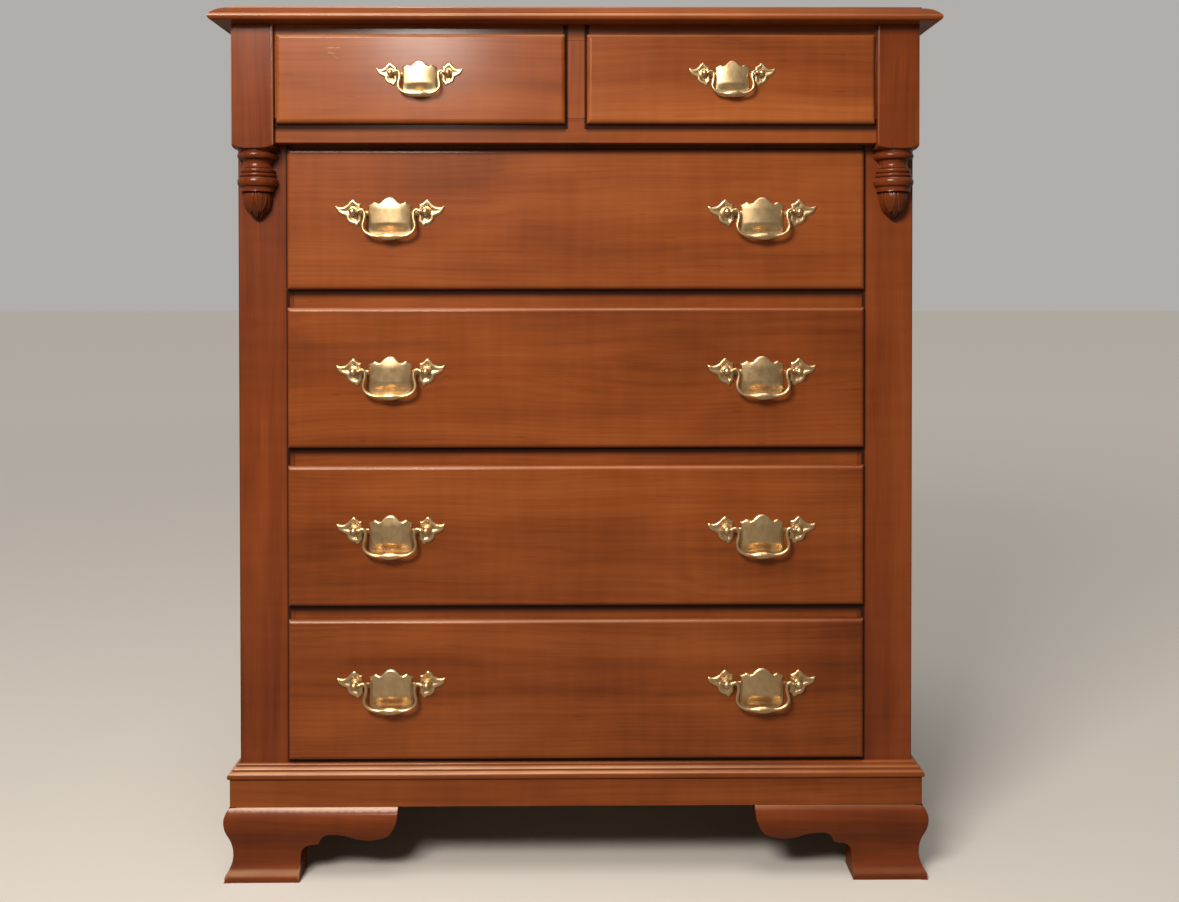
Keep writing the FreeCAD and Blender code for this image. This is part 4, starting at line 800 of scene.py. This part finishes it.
def bracket(made, length, toe, mitred, place, grain):
    """One ogee bracket. place turns (along, outwards, up) into the row frame."""
    outline, left = bracket_outline(length, toe, mitred)
    pts, tris = filled(outline, 5.2, 4.0, 2.2)
    n = len(outline)
    front = [place(s, ogee_reach(z), z) for s, z in pts]
    back = [place(42.0 if mitred and i < left else s, -30.0, z) for i, (s, z) in enumerate(outline)]
    m = len(front)
    faces = [f for f in tris]
    faces += [[i, (i + 1) % n, m + (i + 1) % n, m + i] for i in range(n)]
    faces.append([m + i for i in range(n)][::-1])
    # The top edge and a band above the toe are painted lighter, painted highlights where the curves face up, with some
    # wear.
    wear_and_painted_light = [-0.75 if z > 103.5 else (-0.40 if 6.0 < z < 18.0 else 0.0) for s, z in pts] + [0.0] * n
    made.add(front + back, faces, grain, wear_and_painted_light)


FRONT_TOE, SIDE_TOE = 98.8, 88.8
foot_wood = wood("maple_foot", tones=RED, light=0.03)
for side, label in ((-1, "left"), (1, "right")):
    foot = Mesh("foot_" + label)
    bracket(foot, 237.0, FRONT_TOE, True, lambda s, d, z, k=side: (k * (HALF + 12.0 - s), FACE - d, z), "x")
    bracket(foot, 190.0, SIDE_TOE, True, lambda s, d, z, k=side: (k * (HALF + d), FACE - 12.0 + s, z), "y")
    foot.make("ogee_foot_front_" + label, foot_wood, "carcass", ["foot_front_" + label], angle=35, bevel=0.7)
rear = Mesh("rear_feet")
inner_x = HALF - 30.0
for side in (-1, 1):
    bracket(rear, 190.0, SIDE_TOE, False, lambda s, d, z, k=side: (k * (HALF + d), BACK - s, z), "y")
    plate = curve([(inner_x, 0.0), (inner_x - 60, 0.0, inner_x - 60, 26.0) if False else (inner_x - 60, 0.0),
                   (inner_x - 61, 26.0), (inner_x - 64, 44.0), (inner_x - 70, 58.0), (inner_x - 110, 80.0),
                   (inner_x - 110, 104.0), (inner_x, 104.0)], closed=True)
    rear.prism([(side * x, BACK - 20.0, z) for x, z in plate], [(side * x, BACK, z) for x, z in plate], "x")
rear.make("ogee_feet_rear", foot_wood, "carcass", ["feet_rear"], angle=35, bevel=0.7)

# ----------------------------------------------------------------------- pulls
C = "corner"
PLATE_EDGE = [
    (0, 21.0), (3.2, 20.7), (5.8, 19.8), (8.4, 18.0), (10.8, 15.8), (13.6, 13.4), (16.8, 12.2, C), (19.6, 13.6), (22.5, 14.3),
    (25.4, 12.6), (28.0, 11.2), (30.8, 10.2, C), (30.3, 7.0), (30.0, 4.0), (29.8, 1.8, C), (40.2, 1.8, C), (40.6, 6.5),
    (41.0, 11.8, C), (44.2, 12.6), (47.2, 14.8), (50.0, 17.4), (53.0, 18.0), (56.4, 15.8), (59.8, 12.0), (64.2, 8.6),
    (69.2, 7.4), (73.4, 8.0), (76.4, 8.9, C), (75.9, 4.6), (73.6, 0.2), (69.8, -2.6), (65.6, -4.4), (62.2, -5.8, C),
    (61.6, -9.6), (59.2, -13.4), (55.2, -16.2), (50.6, -17.4, C), (48.6, -19.4), (46.2, -20.0), (44.0, -18.0),
    (41.6, -14.8), (39.6, -13.4, C), (39.7, -9.0), (40.0, -5.0, C), (30.2, -5.0, C), (30.4, -12.0), (30.8, -20.0),
    (30.6, -27.0), (28.4, -32.0), (23.4, -35.2), (15.0, -37.0), (7.0, -37.6), (0, -37.8)]
right = spline(PLATE_EDGE, 4)


def thin(points, least):
    out = [points[0]]
    for p in points[1:]:
        if math.hypot(p[0] - out[-1][0], p[1] - out[-1][1]) > least:
            out.append(p)
    return out


right = thin(right, 0.55)
if abs(right[-1][0]) < 0.4:
    right[-1] = (0.0, right[-1][1])
EDGE = right + [(-x, z) for x, z in reversed(right) if x > 0.01]


def plate_height(x, z, d):
    """How far the plate's surface stands from the drawer, and how dark it is painted: patina at its edges and hollows,
    and painted shade round the posts and on the bridges beside the shield.
    """
    ax = abs(x)
    if ax < 35.0:
        # The shield is a smooth pillow that ends above a flat, rounded border.
        u = min(ax, 29.5) / 29.5
        swell = (1 - u * u) ** 0.8 * smooth_step(-28.0, -14.0, z) * (1 - 0.46 * smooth_step(4.0, 24.0, z))
        h = 0.8 + 1.3 * smooth_step(0.0, 1.6, d) + 3.9 * swell
        # The edge and the crease where the pillow meets the border are painted darker, partly patina and partly painted
        # shade.
        dark = 0.35 * (1 - smooth_step(0.0, 0.5, d)) + 0.30 * (1 - u ** 4) * math.exp(-(((z + 27.2) / 1.5) ** 2))
        # The bridge beside the shield is painted dark, painted shade behind the bail.
        if ax > 29.8:
            h = min(h, 1.5)
            dark = max(dark, 0.6)
        return h, dark
    # A wing: a broad rounded rim, solid at the leaf's point, round a dish.
    post = math.hypot(ax - 50.8, z)
    rim = smooth_step(0.0, 1.5, d) * (1 - smooth_step(3.6, 8.0, d))
    h = 0.8 + 1.4 * rim
    # The dish and the edge are painted darker, partly patina and partly painted shade.
    dark = 0.20 * smooth_step(4.4, 7.5, d) + 0.25 * (1 - smooth_step(0.0, 0.5, d))
    # Round the post the plate is painted dark, a painted shadow of the ball.
    if post < 8.4:
        h = max(h, 0.8 + 1.1 * (1 - smooth_step(5.4, 8.4, post)))
        dark = max(dark, 0.66 * (1 - smooth_step(6.2, 8.4, post)))
    # The bridge beside the shield is painted dark, painted shade behind the bail.
    if ax < 40.2:
        h = min(h, 1.1)
        dark = max(dark, 0.65)
    return h, dark


def plate_mesh(name, pitch):
    pts, tris = filled(EDGE, pitch, pitch * 0.866, pitch * 0.5)
    d = distances(pts, EDGE)
    verts, recess = [], []
    n = len(EDGE)
    for (x, z), far in zip(pts, d):
        h, dark = plate_height(x, z, float(far))
        verts.append((x, -h, z))
        recess.append(dark)
    m = len(verts)
    # The plate's foot against the drawer is painted dark, partly patina and partly painted shade.
    for x, z in EDGE:
        verts.append((x, 0.0, z))
        recess.append(0.7)
    faces = list(tris)
    faces += [[i, (i + 1) % n, m + (i + 1) % n, m + i] for i in range(n)]
    faces.append([m + i for i in range(n)][::-1])
    return verts, faces, recess


BAIL_LINE = [(49.4, 0.0), (46.8, 0.1), (43.8, 0.9), (40.8, 2.5), (37.7, 2.9), (35.2, 0.9), (34.0, -3.2), (34.2, -8.3),
             (35.4, -13.6), (36.4, -18.2), (36.0, -22.8), (33.7, -27.2), (29.5, -30.6), (23.2, -33.2), (14.0, -34.3), (0.0, -34.5)]


def bail_mesh():
    """A tube along the bail's line with a bead at each end, swelling at the grip."""
    half = spline(BAIL_LINE, 9)
    line = half + [(-x, z) for x, z in reversed(half[:-1])]
    p = np.array(line, float)
    tangent = np.gradient(p, axis=0)
    tangent /= np.linalg.norm(tangent, axis=1)[:, None]
    around = 24
    verts, recess = [], []
    for (x, z), (tx, tz) in zip(line, tangent):
        ax = abs(x)
        if z < -30.0:
            swell = smooth_step(18.5, 2.5, ax)
            flat = 2.35 + 2.85 * swell
            deep = 2.35 + 2.2 * swell
        else:
            bead = math.exp(-((math.hypot(ax - 43.6, z - 1.0) / 1.9) ** 2)) if z > -4 else 0.0
            flat = deep = 2.35 + 0.75 * bead - 0.55 * smooth_step(45.2, 47.0, ax)
        lean = 0.0875 * max(0.0, -z)
        for k in range(around):
            a = 2 * math.pi * k / around
            u, w = flat * math.cos(a), deep * math.sin(a)
            verts.append((x - tz * u, -lean + w, z + tx * u))
            # The side toward the drawer and the ends in the posts are painted darker.
            recess.append(0.30 * (0.5 + 0.5 * math.sin(a)) + (0.20 if ax > 45.5 else 0.0))
    faces = []
    rows = len(line)
    for i in range(rows - 1):
        for k in range(around):
            a, b = i * around + k, i * around + (k + 1) % around
            faces.append([a, b, b + around, a + around])
    faces.append(list(range(around))[::-1])
    faces.append(list(range((rows - 1) * around, rows * around)))
    return verts, faces, recess


plate_parts = plate_mesh("plate", 1.15)
bail_parts = bail_mesh()


def pull_pieces(label, spots, face, z, k, tall):
    plates = Mesh(label + "_plates")
    for x in [s[1] for s in spots]:
        verts, faces, recess = plate_parts
        plates.add([(x + k * a, face + k * b, z + tall * c) for a, b, c in verts], faces, "x", recess)
    plates.make(label + "_plate_cast", antique_brass, label, [label + "_pull_plates"], angle=44, weighted=False)
    for suffix, x in spots:
        body = label + "_bail" + suffix
        bail = Mesh(body)
        verts, faces, recess = bail_parts
        bail.add([(x + k * a, face + k * (b - 10.0), z + (k if c > -3 else tall) * c + (0 if c > -3 else 3 * (tall - k)))
                  for a, b, c in verts], faces, "x", recess)
        bail.make(body + "_cast", antique_brass, body, [body], angle=60, weighted=False)


for i, level in LEVELS.items():
    pull_pieces("long_drawer_%d" % i, [("_left", -262.0), ("_right", 262.0)], LONG_FACE, level + 100.55, 1.0, 1.0)
pull_pieces("upper_left_drawer", [("", -216.5)], SMALL_FACE, 1133.5, 0.78, 0.85)
pull_pieces("upper_right_drawer", [("", 216.5)], SMALL_FACE, 1133.5, 0.78, 0.85)

# --------------------------------------------------------------- floor and light
floor_mesh = bpy.data.meshes.new("floor")
floor_mesh.from_pydata([(-40, -40, 0), (40, -40, 0), (40, 40, 0), (-40, 40, 0)], [], [(0, 1, 2, 3)])
floor = bpy.data.objects.new("floor", floor_mesh)
scene.collection.objects.link(floor)
material, nt = tree("floor_pale")
# The floor the camera sees is painted lighter away from the chest, painted light that evens out the lamps' falloff;
# rays bouncing off it see a darker colour.
place = put(nt, "ShaderNodeTexCoord").outputs["Object"]
seen = put(nt, "ShaderNodeLightPath").outputs["Is Camera Ray"]
away = put(nt, "ShaderNodeVectorMath", {0: place}, operation="LENGTH").outputs["Value"]
away = math_node(nt, "DIVIDE", math_node(nt, "SUBTRACT", away, 1.0), 6.0, clamp=True)
away = math_node(nt, "POWER", away, 0.7)
tone = mix_colour(nt, away, (0.76, 0.745, 0.72), (0.97, 0.955, 0.93))
tone = mix_colour(nt, seen, (0.27, 0.25, 0.23), tone)
shader = put(nt, "ShaderNodeBsdfPrincipled", {"Base Color": tone, "Roughness": 0.85})
put(nt, "ShaderNodeOutputMaterial", {"Surface": shader.outputs[0]})
floor_mesh.materials.append(material)

world = bpy.data.worlds.new("studio")
scene.world = world
world.use_nodes = True
wt = world.node_tree
wt.nodes.clear()
backdrop = put(wt, "ShaderNodeBackground", {"Color": (0.95, 0.92, 0.88, 1.0), "Strength": 0.46})
room = put(wt, "ShaderNodeBackground", {"Color": (1.0, 0.90, 0.78, 1.0), "Strength": 0.06})
mirrored = put(wt, "ShaderNodeBackground", {"Color": (1.0, 0.90, 0.78, 1.0), "Strength": 0.27})
seen = put(wt, "ShaderNodeLightPath")
unseen = put(wt, "ShaderNodeMixShader", {0: seen.outputs["Is Glossy Ray"], 1: room.outputs[0], 2: mirrored.outputs[0]})
both = put(wt, "ShaderNodeMixShader", {0: seen.outputs["Is Camera Ray"], 1: unseen.outputs[0], 2: backdrop.outputs[0]})
put(wt, "ShaderNodeOutputWorld", {"Surface": both.outputs[0]})


def area(name, where, aim, wide, tall, power, colour):
    data = bpy.data.lights.new(name, "AREA")
    data.shape = "RECTANGLE"
    data.size, data.size_y = wide, tall
    data.energy = power
    data.color = colour
    made = bpy.data.objects.new(name, data)
    made.location = where
    made.rotation_euler = (Vector(aim) - Vector(where)).to_track_quat("-Z", "Y").to_euler()
    scene.collection.objects.link(made)
    return made


area("key", (-0.80, -2.00, 2.08), (0.0, -0.2, 1.25), 0.95, 0.68, 63.0, (1.0, 0.90, 0.78))
lamp = area("lamp", (-0.79, -4.6, 2.125), (0.0, -0.2, 0.8), 0.40, 0.24, 20.0, (1.0, 0.94, 0.86))
lamp.visible_diffuse = False
sun_data = bpy.data.lights.new("ceiling", "SUN")
sun_data.energy = 1.25
sun_data.angle = math.radians(34)
sun_data.color = (1.0, 0.94, 0.86)
sun = bpy.data.objects.new("ceiling", sun_data)
sun.rotation_euler = (math.radians(14), math.radians(-3), 0.0)
scene.collection.objects.link(sun)

camera_data = bpy.data.cameras.new("camera")
camera_data.sensor_fit = "HORIZONTAL"
camera_data.sensor_width = 36.0
camera_data.lens = 35.33
camera_data.shift_y = -0.1264
camera = bpy.data.objects.new("camera", camera_data)
camera.location = (0.0040, -1.8387, 0.8367)
camera.rotation_euler = (Matrix.Rotation(math.radians(-0.508), 3, "Z") @ Matrix.Rotation(math.radians(89.309), 3, "X")
                         @ Matrix.Rotation(math.radians(-0.04), 3, "Z")).to_euler()
scene.collection.objects.link(camera)
scene.camera = camera
scene.view_settings.view_transform = "Standard"
